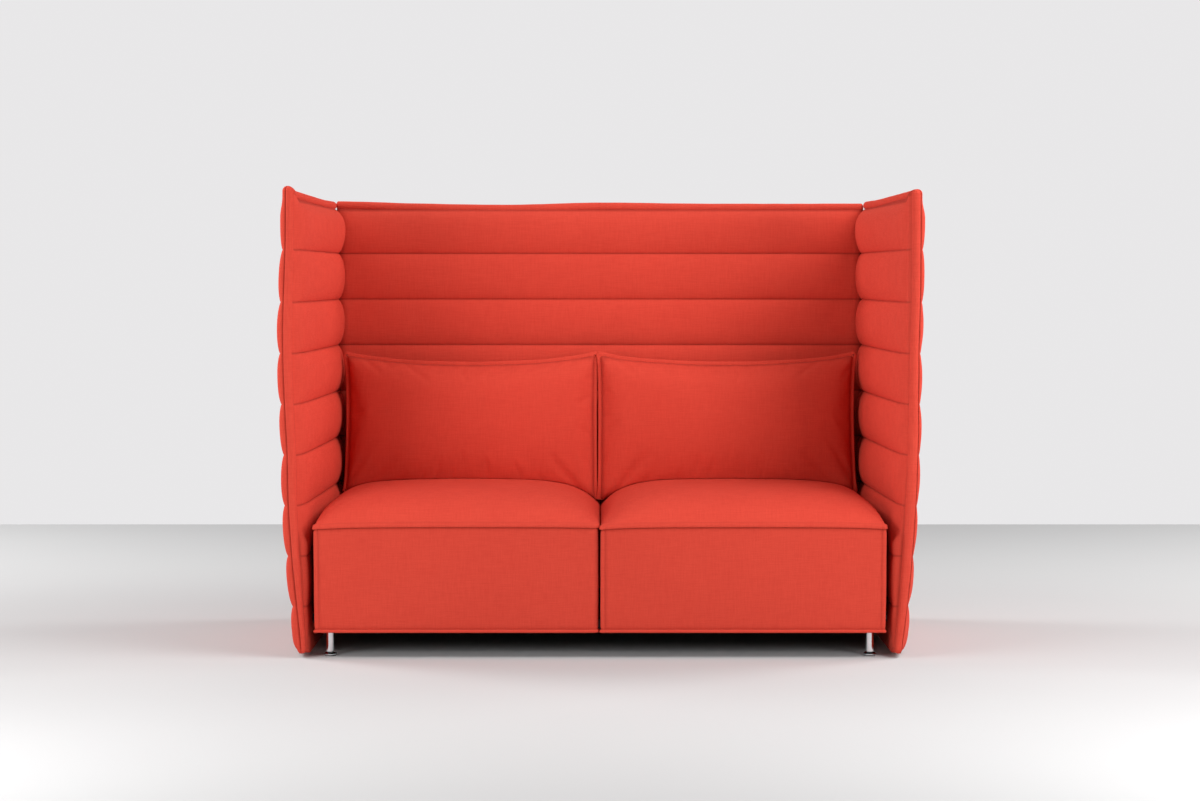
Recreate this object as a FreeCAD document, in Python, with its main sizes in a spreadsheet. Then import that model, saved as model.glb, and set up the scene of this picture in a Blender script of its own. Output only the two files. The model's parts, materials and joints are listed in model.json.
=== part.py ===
import FreeCAD, Part
import math
import os
import Sketcher

# High back settee. Two seat blocks on a steel base, two loose back cushions,
# and a tall back and two tall sides of quilted panels, zipped at the corners.
# Millimetres. +X is to the sitter's left, seen from the front as right,
# +Y points to the back, +Z is up. The origin is on the floor, at the centre
# of the whole settee's box.

vector = FreeCAD.Vector

# Driving dimensions
SIZES = (
    ("overall_depth", 825, "front edge of the sides to the back of the back panel"),
    ("inside_width", 1502, "between the sides' inner crests, at the back"),
    ("channel_count", 9, "quilted channels of every panel"),
    ("channel_pitch", 133, "height of one channel, seam to seam"),
    ("panel_base", 10, "lowest seam of the panels above the floor"),
    ("core_thickness", 14, "board inside each panel"),
    ("pad_at_seam", 12, "thickness of the quilting where it is sewn down"),
    ("pad_at_crest", 28, "thickness of the quilting in the middle of a channel"),
    ("pad_at_end", 13, "crest of the quilting at the panel's ends"),
    ("pad_at_hem", 4, "thickness of the quilting at the panel's lower edge"),
    ("pad_end_length", 45, "stretch over which the quilting thins to its end"),
    ("panel_flare", 30, "how far the sides lean out at their front edge"),
    ("flare_start", 1, "seam below which the sides stay straight"),
    ("flare_full", 4, "seam above which the full flare is reached"),
    ("edge_roll", 25, "diameter of the roll along the panels' top and front edges"),
    ("roll_gap", 1, "front roll to the board behind it"),
    ("corner_side_end", 56.5, "back plane of the settee to the sides' rear end"),
    ("corner_back_end", 22, "centre of the side panel to the back panel's end"),
    ("seat_gap", 0.5, "half of the gap between the two seat blocks"),
    ("seat_side_gap", 1.5, "seat block to the quilted side"),
    ("seat_setback", 14, "seat fronts behind the sides' front edge"),
    ("seat_back_gap", 1, "seat block to the quilted back"),
    ("skirt_base", 66, "lower edge of the seat blocks"),
    ("flange_height", 346, "sewn flange at the top of the seats' front"),
    ("crown_height", 430, "highest point of the seats"),
    ("skirt_wall", 10, "thickness of the seat blocks' lower walls"),
    ("skirt_draw", 1.8, "how far a seat's walls draw in above their lower edge"),
    ("skirt_draw_height", 34, "height of that above the seats' lower edge"),
    ("rail_width", 40, "width of the base's steel tubes"),
    ("rail_height", 25, "height of the base's steel tubes"),
    ("rail_wall", 2, "wall of the base's steel tubes"),
    ("rail_base", 72, "underside of the base's tubes above the floor"),
    ("rail_reach", 734, "centre of the settee to the base's outer side"),
    ("front_rail_y", 350, "front rail ahead of the centre"),
    ("rear_rail_y", 305.5, "rear rail behind the centre"),
    ("leg_x", 714, "legs to the side of the centre"),
    ("leg_diameter", 22, "leg tube"),
    ("leg_wall", 2, "wall of the leg tube"),
    ("leg_plate", 50, "side of the square plate over each leg"),
    ("leg_plate_thickness", 4, "plate over each leg"),
    ("glide_diameter", 35, "levelling foot"),
    ("glide_disc", 6, "steel disc of the levelling foot"),
    ("glide_rim", 3.6, "upright rim of that disc, below its bevel"),
    ("glide_top", 28, "diameter of the disc above its bevel"),
    ("glide_pad", 2, "plastic sole of the levelling foot"),
    ("glide_collar", 3, "dark collar between the leg tube and its foot"),
    ("glide_stem", 8, "diameter of the foot's screw"),
    ("glide_stem_length", 26, "length of the foot's screw"),
    ("insert_depth", 25, "plug inside the lower end of a leg"),
    ("stud_depth", 17.5, "plug inside the upper end of a leg"),
    ("stud_diameter", 10, "stud of that plug through the plate over the leg"),
    ("stem_clearance", 0.1, "screw to its bore, on the radius"),
    ("wire", 4, "wave spring wire"),
    ("spring_count", 4, "wave springs under each seat"),
    ("spring_turns", 23, "bends of one wave spring"),
    ("spring_bar", 24, "straight part of each wave"),
    ("clip_width", 20, "spring clip along the rail"),
    ("clip_depth", 12, "spring clip across the rail"),
    ("clip_height", 6, "spring clip above the rail"),
    ("felt_thickness", 3, "felt over the springs"),
    ("dust_cover_thickness", 2, "cloth under the base"),
    ("bracket_span", 45, "base tube to panel board"),
    ("bracket_width", 40, "bracket along the tube"),
    ("bracket_plate", 4, "steel of the brackets"),
    ("side_bracket_front", -220, "front bracket of a side"),
    ("side_bracket_rear", 180, "rear bracket of a side"),
    ("back_bracket_inner", 190, "inner brackets of the back"),
    ("back_bracket_outer", 560, "outer brackets of the back"),
    ("bolt_diameter", 6, "bracket bolts"),
    ("bolt_head", 10, "head of a bracket bolt"),
    ("bolt_head_height", 4, "head of a bracket bolt"),
    ("bolt_grip", 10, "bolt beyond its bracket plate"),
    ("hole_clearance", 0.4, "bolt holes over the bolt's diameter"),
    ("fitting_gap", 1, "air round the brackets where they pass the padding"),
    ("zip_low", 24, "lower end of a corner zip"),
    ("zip_high", 1180, "upper end of a corner zip"),
    ("zip_inset", 4.4, "zip centre inside the panels' middle planes"),
    ("zip_half_width", 23.3, "zip centre to the edge of its tape"),
    ("zip_tape", 1.2, "tape thickness"),
    ("zip_chain_half", 4, "zip centre to the outside of its teeth"),
    ("zip_chain_gap", 0.6, "zip centre to the inside of its teeth"),
    ("zip_chain", 3, "thickness of the teeth"),
    ("slider_height", 22, "zip slider"),
    ("slider_width", 12, "zip slider"),
    ("slider_plate", 1.5, "each plate of the slider"),
    ("slider_web", 0.6, "web between the slider's plates"),
    ("slider_clearance", 0.4, "slider plate to the teeth"),
    ("slider_rest", 46, "lower end of the slider with the zip closed"),
    ("pull_length", 30, "zip pull"),
    ("pull_width", 8, "zip pull"),
    ("pull_thickness", 1.6, "zip pull"),
    ("pull_pin", 2, "pin that the pull swings on"),
    ("pull_eye", 4.6, "outside diameter of the pull's eyes"),
    ("pull_slot", 5.5, "how far the slot between the eyes reaches from the pin"),
    ("pull_offset", 6.2, "zip centre to the pull's pin"),
    ("cushion_width", 728, "back cushion"),
    ("cushion_height", 352, "back cushion, corner to corner"),
    ("cushion_thickness", 150, "back cushion"),
    ("cushion_sag", 26, "dip of the back cushion's top edge"),
    ("cushion_draw", 7, "how far the cushion's other edges draw in"),
    ("cushion_bulge", 12, "how far the edges of its faces bow outward"),
    ("cushion_gap", 7, "centre of the settee to a back cushion"),
    ("cushion_lean", 7, "degrees that the back cushions lean back"),
    ("cushion_rest", 1.5, "back cushion above the seat's crown"),
    ("cushion_back_gap", 1, "back cushion to the quilted back"),
)

doc = FreeCAD.newDocument("high_back_settee")
sheet = doc.addObject("Spreadsheet::Sheet", "sizes")
for row, (alias, number, words) in enumerate(SIZES, start=1):
    sheet.set(f"A{row}", words)
    sheet.set(f"B{row}", str(number))
    sheet.setAlias(f"B{row}", alias)
doc.recompute()

nodes = []


# Named lengths that several pieces share, as expressions on the sheet
HALF_CORE = "(sizes.core_thickness / 2)"
SIDE_MIDDLE = f"(sizes.inside_width / 2 + sizes.pad_at_crest + {HALF_CORE})"
BACK_MIDDLE = f"(sizes.overall_depth / 2 - sizes.pad_at_crest - {HALF_CORE})"
PANEL_FRONT = "(-sizes.overall_depth / 2)"
SEAT_FRONT = f"({PANEL_FRONT} + sizes.seat_setback)"
SEAT_REAR = f"({BACK_MIDDLE} - {HALF_CORE} - sizes.pad_at_crest - sizes.seat_back_gap)"
SEAT_SIDE = "(sizes.inside_width / 2 - sizes.seat_side_gap)"
RAIL_TOP = "(sizes.rail_base + sizes.rail_height)"
PLATE_BASE = "(sizes.rail_base - sizes.leg_plate_thickness)"
FELT_BASE = f"({RAIL_TOP} + sizes.wire)"
FOAM_BASE = f"({FELT_BASE} + sizes.felt_thickness)"
COLLAR_BASE = "(sizes.glide_pad + sizes.glide_disc)"
LEG_BASE = f"({COLLAR_BASE} + sizes.glide_collar)"


def value(expression):
    """The number that an expression on the sheet stands for."""
    return float(sheet.evalExpression(str(expression)))


def keep(obj, label):
    """Names an object and puts it on the list of sub-parts."""
    obj.Label = label
    nodes.append(obj)
    return obj


def place(obj, corner, turn=None):
    """Puts an object at a corner given by three expressions."""
    obj.Placement = FreeCAD.Placement(vector(), turn or FreeCAD.Rotation())
    for axis, expression in zip("xyz", corner):
        obj.setExpression("Placement.Base." + axis, str(expression))
    return obj


def box(corner, size, turn=None):
    obj = doc.addObject("Part::Box", "block")
    for side, expression in zip(("Length", "Width", "Height"), size):
        obj.setExpression(side, str(expression))
    return place(obj, corner, turn)


def cylinder(base, diameter, height, turn=None):
    obj = doc.addObject("Part::Cylinder", "round")
    obj.setExpression("Radius", f"({diameter}) / 2")
    obj.setExpression("Height", str(height))
    return place(obj, base, turn)


def cut(base, tool):
    obj = doc.addObject("Part::Cut", "cut")
    obj.Base = base
    obj.Tool = tool
    return obj


def fuse(pieces):
    obj = doc.addObject("Part::MultiFuse", "joined")
    obj.Shapes = list(pieces)
    return obj


def group(pieces):
    obj = doc.addObject("Part::Compound", "group")
    obj.Links = list(pieces)
    return obj


def solid_feature(shape):
    """A free form, worked out from the sheet's numbers."""
    obj = doc.addObject("Part::Feature", "form")
    obj.Shape = shape
    obj.Placement = FreeCAD.Placement()
    return obj


# Sketched bodies
def new_body(name):
    body = doc.addObject("PartDesign::Body", name)
    planes = {item.Role: item for item in body.Origin.OriginFeatures}
    return body, planes


def new_sketch(body, plane):
    sketch = body.newObject("Sketcher::SketchObject", "outline")
    sketch.AttachmentSupport = [(plane, "")]
    sketch.MapMode = "FlatFace"
    return sketch


def bind(sketch, constraint, expression):
    index = sketch.addConstraint(constraint)
    sketch.setExpression(f"Constraints[{index}]", str(expression))


def bind_point(sketch, item, end, across, up):
    bind(sketch, Sketcher.Constraint("DistanceX", -1, 1, item, end, value(across)), across)
    bind(sketch, Sketcher.Constraint("DistanceY", -1, 1, item, end, value(up)), up)


def add_polygon(sketch, corners):
    """A closed outline; each corner is a pair of expressions."""
    first = sketch.GeometryCount
    points = [vector(value(across), value(up), 0) for across, up in corners]
    count = len(points)
    for index in range(count):
        sketch.addGeometry(Part.LineSegment(points[index], points[(index + 1) % count]), False)
    for index in range(count):
        following = first + (index + 1) % count
        sketch.addConstraint(Sketcher.Constraint("Coincident", first + index, 2, following, 1))
    for index, (across, up) in enumerate(corners):
        bind_point(sketch, first + index, 1, across, up)


def add_circle(sketch, across, up, diameter):
    radius = f"({diameter}) / 2"
    centre = vector(value(across), value(up), 0)
    index = sketch.addGeometry(Part.Circle(centre, vector(0, 0, 1), value(radius)), False)
    bind(sketch, Sketcher.Constraint("Radius", index, value(radius)), radius)
    bind_point(sketch, index, 3, across, up)


def rectangle(left, right, low, high):
    return ((left, low), (right, low), (right, high), (left, high))


def pad(body, sketch, length, symmetric=False):
    feature = body.newObject("PartDesign::Pad", "pad")
    feature.Profile = sketch
    feature.setExpression("Length", str(length))
    if symmetric:
        feature.SideType = "Symmetric"
    return feature


def drill(body, plane, holes, diameter):
    """Round holes right through a body, both ways from a plane; checks that they cut."""
    doc.recompute()
    before = body.Shape.Volume
    sketch = new_sketch(body, plane)
    for across, up in holes:
        add_circle(sketch, across, up, diameter)
    pocket = body.newObject("PartDesign::Pocket", "holes")
    pocket.Profile = sketch
    pocket.Type = "ThroughAll"
    pocket.SideType = "Symmetric"
    doc.recompute()
    if body.Shape.Volume >= before:
        raise RuntimeError("the holes cut nothing")


# Steel base
def rail(label, along, length, corner, holes=()):
    """A rectangular tube along X or Y, with its underside centred on the corner."""
    body, planes = new_body(label)
    profile = new_sketch(body, planes["YZ_Plane" if along == "x" else "XZ_Plane"])
    half = "sizes.rail_width / 2"
    inner = f"({half} - sizes.rail_wall)"
    add_polygon(profile, rectangle(f"-{half}", half, "0", "sizes.rail_height"))
    add_polygon(profile, rectangle(f"-{inner}", inner, "sizes.rail_wall",
                                   "sizes.rail_height - sizes.rail_wall"))
    pad(body, profile, length, symmetric=True)
    if holes:
        side = planes["XZ_Plane" if along == "x" else "YZ_Plane"]
        drill(body, side, [(at, "sizes.rail_height / 2") for at in holes],
              "sizes.bolt_diameter + sizes.hole_clearance")
    return keep(place(body, corner), label)


SIDE_RAIL_LENGTH = "(sizes.front_rail_y + sizes.rear_rail_y - sizes.rail_width)"
SIDE_RAIL_Y = "((sizes.rear_rail_y - sizes.front_rail_y) / 2)"


def base_frame():
    rail("front_rail", "x", "sizes.rail_reach * 2", ("0", "-sizes.front_rail_y", "sizes.rail_base"))
    back_holes = [f"{sign}sizes.back_bracket_{which}" for sign in ("-", "")
                  for which in ("inner", "outer")]
    rail("rear_rail", "x", "sizes.rail_reach * 2", ("0", "sizes.rear_rail_y", "sizes.rail_base"),
         back_holes)
    side_holes = [f"sizes.side_bracket_{which} - {SIDE_RAIL_Y}" for which in ("front", "rear")]
    for label, sign in (("left_side_rail", "-"), ("right_side_rail", "")):
        across = f"{sign}(sizes.rail_reach - sizes.rail_width / 2)"
        rail(label, "y", SIDE_RAIL_LENGTH, (across, SIDE_RAIL_Y, "sizes.rail_base"), side_holes)
    rail("centre_rail", "y", SIDE_RAIL_LENGTH, ("0", SIDE_RAIL_Y, "sizes.rail_base"))


# Legs and levelling feet
CORNERS = (("front_left", "-", "-sizes.front_rail_y"), ("front_right", "", "-sizes.front_rail_y"),
           ("rear_left", "-", "sizes.rear_rail_y"), ("rear_right", "", "sizes.rear_rail_y"))


def leg_tube(label, across, along):
    body, planes = new_body(label)
    profile = new_sketch(body, planes["XY_Plane"])
    add_circle(profile, "0", "0", "sizes.leg_diameter")
    add_circle(profile, "0", "0", "sizes.leg_diameter - 2 * sizes.leg_wall")
    pad(body, profile, f"{PLATE_BASE} - {LEG_BASE}")
    return keep(place(body, (across, along, LEG_BASE)), label)


def glide(label, across, along):
    """A turned foot: a disc with a bevelled shoulder, and its screw."""
    body, planes = new_body(label)
    profile = new_sketch(body, planes["XZ_Plane"])
    edge = "sizes.glide_diameter / 2"
    stem = "sizes.glide_stem / 2"
    top = "sizes.glide_disc"
    add_polygon(profile, (("0", "0"), (edge, "0"), (edge, "sizes.glide_rim"),
                          ("sizes.glide_top / 2", top), (stem, top),
                          (stem, f"{top} + sizes.glide_stem_length"),
                          ("0", f"{top} + sizes.glide_stem_length")))
    turning = body.newObject("PartDesign::Revolution", "turning")
    turning.Profile = profile
    turning.ReferenceAxis = (profile, ["V_Axis"])
    turning.Angle = 360
    return keep(place(body, (across, along, "sizes.glide_pad")), label)


def legs():
    plates, inserts, studs = [], [], []
    bore = "sizes.leg_diameter - 2 * sizes.leg_wall"
    for name, sign, along in CORNERS:
        across = f"{sign}sizes.leg_x"
        leg_tube(f"{name}_leg", across, along)
        glide(f"{name}_glide", across, along)
        sole = doc.addObject("Part::Cone", "sole")
        sole.setExpression("Radius1", "sizes.glide_diameter / 2 - sizes.glide_pad")
        sole.setExpression("Radius2", "sizes.glide_diameter / 2 - sizes.glide_pad / 2")
        sole.setExpression("Height", "sizes.glide_pad")
        keep(place(sole, (across, along, "0")), f"{name}_glide_pad")
        plug = fuse((cylinder((across, along, COLLAR_BASE), f"{bore} - sizes.glide_pad",
                              "sizes.glide_collar"),
                     cylinder((across, along, LEG_BASE), bore, "sizes.insert_depth")))
        inserts.append(cut(plug, cylinder((across, along, COLLAR_BASE),
                                          "sizes.glide_stem + 2 * sizes.stem_clearance",
                                          "sizes.glide_collar + sizes.insert_depth")))
        plate = box((f"{across} - sizes.leg_plate / 2", f"{along} - sizes.leg_plate / 2", PLATE_BASE),
                    ("sizes.leg_plate", "sizes.leg_plate", "sizes.leg_plate_thickness"))
        plates.append(cut(plate, cylinder((across, along, PLATE_BASE), "sizes.stud_diameter",
                                          "sizes.leg_plate_thickness")))
        studs.append(fuse((cylinder((across, along, f"{PLATE_BASE} - sizes.stud_depth"), bore,
                                    "sizes.stud_depth"),
                           cylinder((across, along, PLATE_BASE), "sizes.stud_diameter",
                                    "sizes.leg_plate_thickness"))))
    keep(group(plates), "leg_plates")
    keep(group(inserts), "leg_inserts")
    keep(group(studs), "leg_studs")


# Seat springs, felt and dust cover
VOLUME_TOLERANCE = 0.01


def wave_spring(across):
    """One wave spring: straight bars joined by half turns, from rail to rail."""
    turns = int(value("sizes.spring_turns"))
    start = -value("sizes.front_rail_y")
    pitch = (value("sizes.rear_rail_y") - start) / turns
    reach = value("sizes.spring_bar") / 2
    height = value(f"{RAIL_TOP} + sizes.wire / 2")
    edges = []
    for index in range(turns + 1):
        side = 1 if index % 2 == 0 else -1
        along = start + index * pitch
        edges.append(Part.makeLine(vector(across - side * reach, along, height),
                                   vector(across + side * reach, along, height)))
        if index < turns:
            bend = Part.Arc(vector(across + side * reach, along, height),
                            vector(across + side * (reach + pitch / 2), along + pitch / 2, height),
                            vector(across + side * reach, along + pitch, height))
            edges.append(bend.toShape())
    path = Part.Wire(edges)
    section = Part.Wire([Part.makeCircle(value("sizes.wire") / 2,
                                         vector(across - reach, start, height), vector(1, 0, 0))])
    spring = path.makePipeShell([section], True, False)
    volume = value("sizes.wire") ** 2 * math.pi / 4 * path.Length
    if abs(spring.Volume / volume - 1) > VOLUME_TOLERANCE:
        raise RuntimeError("a spring's volume is wrong")
    return spring


def spring_clip(across, along):
    block = box((f"{across} - sizes.clip_width / 2", f"{along} - sizes.clip_depth / 2", RAIL_TOP),
                ("sizes.clip_width", "sizes.clip_depth", "sizes.clip_height"))
    half = "sizes.wire / 2"
    arch = cylinder((f"{across} - sizes.clip_width", along, f"{RAIL_TOP} + {half}"),
                    "sizes.wire", "2 * sizes.clip_width", FreeCAD.Rotation(vector(0, 1, 0), 90))
    slot = box((f"{across} - sizes.clip_width", f"{along} - {half}", f"{RAIL_TOP} - {half}"),
               ("2 * sizes.clip_width", "sizes.wire", "sizes.wire"))
    return cut(block, fuse((arch, slot)))


def seat_suspension():
    count = int(value("sizes.spring_count"))
    inner = "(sizes.rail_width / 2)"
    outer = "(sizes.rail_reach - sizes.rail_width)"
    for side, sign in (("left", -1), ("right", 1)):
        springs, clips = [], []
        for index in range(count):
            share = (index + 0.5) / count
            across = f"{sign} * ({inner} + ({outer} - {inner}) * {share})"
            springs.append(wave_spring(value(across)))
            clips += [spring_clip(across, along) for along in ("-sizes.front_rail_y",
                                                               "sizes.rear_rail_y")]
        keep(solid_feature(Part.makeCompound(springs)), f"{side}_springs")
        keep(group(clips), f"{side}_spring_clips")
        low = inner if sign > 0 else f"-{outer}"
        felt_front = "(-sizes.front_rail_y + sizes.rail_width / 2)"
        keep(box((low, felt_front, FELT_BASE),
                 (f"{outer} - {inner}", SIDE_RAIL_LENGTH, "sizes.felt_thickness")),
             f"{side}_spring_felt")
    inside = f"({SEAT_SIDE} - sizes.skirt_wall)"
    front = f"({SEAT_FRONT} + sizes.skirt_wall)"
    depth = f"({SEAT_REAR} - sizes.skirt_wall - {front})"
    cloth = box((f"-{inside}", front, f"{PLATE_BASE} - sizes.dust_cover_thickness"),
                (f"2 * {inside}", depth, "sizes.dust_cover_thickness"))
    holes = fuse([cylinder((f"{sign}sizes.leg_x", along, "sizes.skirt_base / 2"),
                           "sizes.leg_diameter + sizes.hole_clearance", "sizes.skirt_base")
                  for _, sign, along in CORNERS])
    keep(cut(cloth, holes), "dust_cover")


# Brackets between the base and the panels, in their own frame: X across the gap
def bracket():
    body, planes = new_body("bracket")
    profile = new_sketch(body, planes["XY_Plane"])
    half = "(sizes.bracket_width / 2)"
    plate = "sizes.bracket_plate"
    span = "sizes.bracket_span"
    add_polygon(profile, (("0", f"-{half}"), (plate, f"-{half}"), (plate, f"{half} - {plate}"),
                          (f"{span} - {plate}", f"{half} - {plate}"),
                          (f"{span} - {plate}", f"-{half}"), (span, f"-{half}"),
                          (span, half), ("0", half)))
    pad(body, profile, "sizes.rail_height")
    drill(body, planes["YZ_Plane"], [("0", "sizes.rail_height / 2")], "sizes.bolt_diameter")
    return body


def bracket_bolts():
    """The two bolts of a bracket: one into the base's tube, one into the panel's board."""
    middle = "sizes.rail_height / 2"
    plate = "sizes.bracket_plate"
    shank = f"{plate} + sizes.bolt_grip"
    outward = FreeCAD.Rotation(vector(0, 1, 0), 90)
    inward = FreeCAD.Rotation(vector(0, 1, 0), -90)
    bolts = []
    for turn, seat in ((inward, plate), (outward, f"(sizes.bracket_span - {plate})")):
        head_turn = outward if turn is inward else inward
        bolts.append(fuse((cylinder((seat, "0", middle), "sizes.bolt_diameter", shank, turn),
                           cylinder((seat, "0", middle), "sizes.bolt_head",
                                    "sizes.bolt_head_height", head_turn))))
    return group(bolts)


def bracket_clearance():
    gap = "sizes.fitting_gap"
    half = "sizes.bracket_width / 2"
    low = "(sizes.rail_base - sizes.skirt_base)"
    return box((f"-{gap}", f"-{half} - {gap}", f"-{low} - {gap}"),
               (f"sizes.bracket_span + {gap}", f"sizes.bracket_width + 2 * {gap}",
                f"sizes.rail_height + {low} + 2 * {gap}"))


def board_hole():
    plate = "sizes.bracket_plate"
    return cylinder((f"sizes.bracket_span - {plate}", "0", "sizes.rail_height / 2"),
                    "sizes.bolt_diameter", f"sizes.bolt_grip + {plate}",
                    FreeCAD.Rotation(vector(0, 1, 0), 90))


def bracket_places(panel):
    """Where a panel's brackets stand: corner expressions and a turn about Z."""
    if panel == "back":
        face = "(sizes.rear_rail_y + sizes.rail_width / 2)"
        turn = FreeCAD.Rotation(vector(0, 0, 1), 90)
        return [((f"{sign}sizes.back_bracket_{which}", face, "sizes.rail_base"), turn)
                for sign in ("-", "") for which in ("inner", "outer")]
    sign = "-" if panel == "left" else ""
    turn = FreeCAD.Rotation(vector(0, 0, 1), 180 if panel == "left" else 0)
    return [((f"{sign}sizes.rail_reach", f"sizes.side_bracket_{which}", "sizes.rail_base"), turn)
            for which in ("front", "rear")]


def placed_copies(make, panel):
    return [place(group([make()]), corner, turn) for corner, turn in bracket_places(panel)]


# Quilted panels
class Panel:
    """One upright panel: u runs along it, w outward across it, z up."""

    def __init__(self, name):
        self.name = name
        self.count = int(value("sizes.channel_count"))
        self.pitch = value("sizes.channel_pitch")
        self.base = value("sizes.panel_base")
        self.seams = [self.base + index * self.pitch for index in range(self.count + 1)]
        self.roll_centre = self.seams[-1] + value("sizes.edge_roll") / 2
        if name == "back":
            self.last = value(f"{SIDE_MIDDLE} - sizes.corner_back_end")
            self.first = -self.last
            self.front = self.first
        else:
            self.front = value(PANEL_FRONT)
            self.first = self.front + value("sizes.edge_roll + sizes.roll_gap")
            self.last = value("sizes.overall_depth / 2 - sizes.corner_side_end")

    def flare(self, u, z):
        """How far the side leans out: most at its front edge, none low down."""
        if self.name == "back":
            return 0.0
        low = self.base + value("sizes.flare_start") * self.pitch
        high = self.base + value("sizes.flare_full") * self.pitch
        rise = min(1.0, max(0.0, (z - low) / (high - low)))
        return value("sizes.panel_flare") * rise * (self.last - u) / (self.last - self.front)

    def point(self, u, w, z):
        if self.name == "back":
            return vector(u, value(BACK_MIDDLE) + w, z)
        across = value(SIDE_MIDDLE) + w + self.flare(u, z)
        return vector(-across if self.name == "left" else across, u, z)


def line(start, end):
    return Part.makeLine(start, end)


def board(panel):
    """The stiff board in the middle of a panel."""
    half = value(HALF_CORE)
    sections = []
    for u in (panel.first, panel.last):
        inner = [panel.point(u, -half, z) for z in panel.seams]
        outer = [panel.point(u, half, z) for z in reversed(panel.seams)]
        sections.append(Part.makePolygon(inner + outer + inner[:1]))
    return Part.makeLoft(sections, True, True)


def quilting(panel, side):
    """Channelled padding on one face of a panel; side is 1 outside and -1 inside."""
    face = value(HALF_CORE)
    seams = [face + value("sizes.pad_at_seam")] * len(panel.seams)
    seams[0] = face + value("sizes.pad_at_hem")
    taper = value("sizes.pad_end_length")
    full = face + value("sizes.pad_at_crest")
    end = face + value("sizes.pad_at_end")
    stations = ((panel.first, end), (panel.first + taper, full),
                (panel.last - taper, full), (panel.last, end))
    sections = []
    for u, crest in stations:
        valleys = [panel.point(u, side * w, z) for w, z in zip(seams, panel.seams)]
        edges = []
        for index, (low, high) in enumerate(zip(panel.seams, panel.seams[1:])):
            crest_point = panel.point(u, side * crest, (low + high) / 2)
            edges.append(Part.Arc(valleys[index], crest_point, valleys[index + 1]).toShape())
        edges.append(line(valleys[-1], panel.point(u, side * face, panel.seams[-1])))
        for high, low in zip(reversed(panel.seams), reversed(panel.seams[:-1])):
            edges.append(line(panel.point(u, side * face, high), panel.point(u, side * face, low)))
        edges.append(line(panel.point(u, side * face, panel.seams[0]), valleys[0]))
        sections.append(Part.Wire(edges))
    return Part.makeLoft(sections, True, True)


# Shape of the soft rolls: their drawn-in ends, and the bend at the sides' front corner
ROLL_TIP = 0.7
ROLL_BEND = 1.04
ROLL_BEND_STEPS = 5


def edge_roll(panel):
    """The soft roll along the top edge and, on a side, up the front edge first."""
    radius = value("sizes.edge_roll / 2")
    end = panel.last - radius
    top = panel.roll_centre
    discs = []

    def add(u, z, size, along, rising):
        forward = panel.point(1, 0, 0) - panel.point(0, 0, 0)
        normal = forward * along + vector(0, 0, rising)
        discs.append(Part.Wire([Part.makeCircle(size, panel.point(u, 0, z), normal)]))

    if panel.name == "back":
        add(-end, top, radius * ROLL_TIP, 1, 0)
        add(-end + radius / 2, top, radius, 1, 0)
    else:
        start = panel.front + radius
        add(start, panel.base, radius * ROLL_TIP, 0, 1)
        for z in [panel.base + radius] + panel.seams[1:-1]:
            add(start, z, radius, 0, 1)
        bend = radius * ROLL_BEND
        for step in range(ROLL_BEND_STEPS + 1):
            angle = math.pi / 2 * step / ROLL_BEND_STEPS
            add(start + bend * (1 - math.cos(angle)), top - bend * (1 - math.sin(angle)),
                radius, math.sin(angle), math.cos(angle))
    add(end - radius / 2, top, radius, 1, 0)
    add(end, top, radius * ROLL_TIP, 1, 0)
    return Part.makeLoft(discs, True, True)


def panels():
    for name in ("left", "right", "back"):
        panel = Panel(name)
        core = solid_feature(board(panel))
        inner = solid_feature(quilting(panel, -1))
        outer = solid_feature(quilting(panel, 1))
        holes = fuse(placed_copies(board_hole, name))
        openings = fuse(placed_copies(bracket_clearance, name))
        keep(cut(core, holes), f"{name}_panel_board")
        keep(cut(inner, openings), f"{name}_panel_inner_quilting")
        keep(outer, f"{name}_panel_outer_quilting")
        keep(solid_feature(edge_roll(panel)), f"{name}_panel_edge_roll")
        keep(group(placed_copies(bracket, name)), f"{name}_panel_brackets")
        keep(group(placed_copies(bracket_bolts, name)), f"{name}_panel_bolts")


# Corner zips: X runs across the zip, Y outward from its face, Z up
def zip_turn(sign):
    return FreeCAD.Rotation(vector(0, 0, 1), -45 * sign)


def zip_centre(sign):
    return (f"{sign} * ({SIDE_MIDDLE} - sizes.zip_inset)", f"{BACK_MIDDLE} - sizes.zip_inset", "0")


def zip_parts(side, sign):
    height = "(sizes.zip_high - sizes.zip_low)"
    tapes, teeth = [], []
    for low, high in (("-sizes.zip_half_width", "-sizes.zip_chain_half"),
                      ("sizes.zip_chain_half", "sizes.zip_half_width")):
        tapes.append(box((low, "-sizes.zip_tape / 2", "sizes.zip_low"),
                         (f"{high} - ({low})", "sizes.zip_tape", height)))
    for low in ("-sizes.zip_chain_half", "sizes.zip_chain_gap"):
        teeth.append(box((low, "-sizes.zip_chain / 2", "sizes.zip_low"),
                         ("sizes.zip_chain_half - sizes.zip_chain_gap", "sizes.zip_chain", height)))
    centre, turn = zip_centre(sign), zip_turn(sign)
    keep(place(group(tapes), centre, turn), f"{side}_zip_tapes")
    keep(place(group(teeth), centre, turn), f"{side}_zip_teeth")
    keep(place(group([zip_slider()]), centre, turn), f"{side}_zip_slider")
    keep(place(group([zip_pull()]), centre, turn), f"{side}_zip_pull")


PULL_HEIGHT = "(sizes.slider_rest + sizes.slider_height / 2)"


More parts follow.
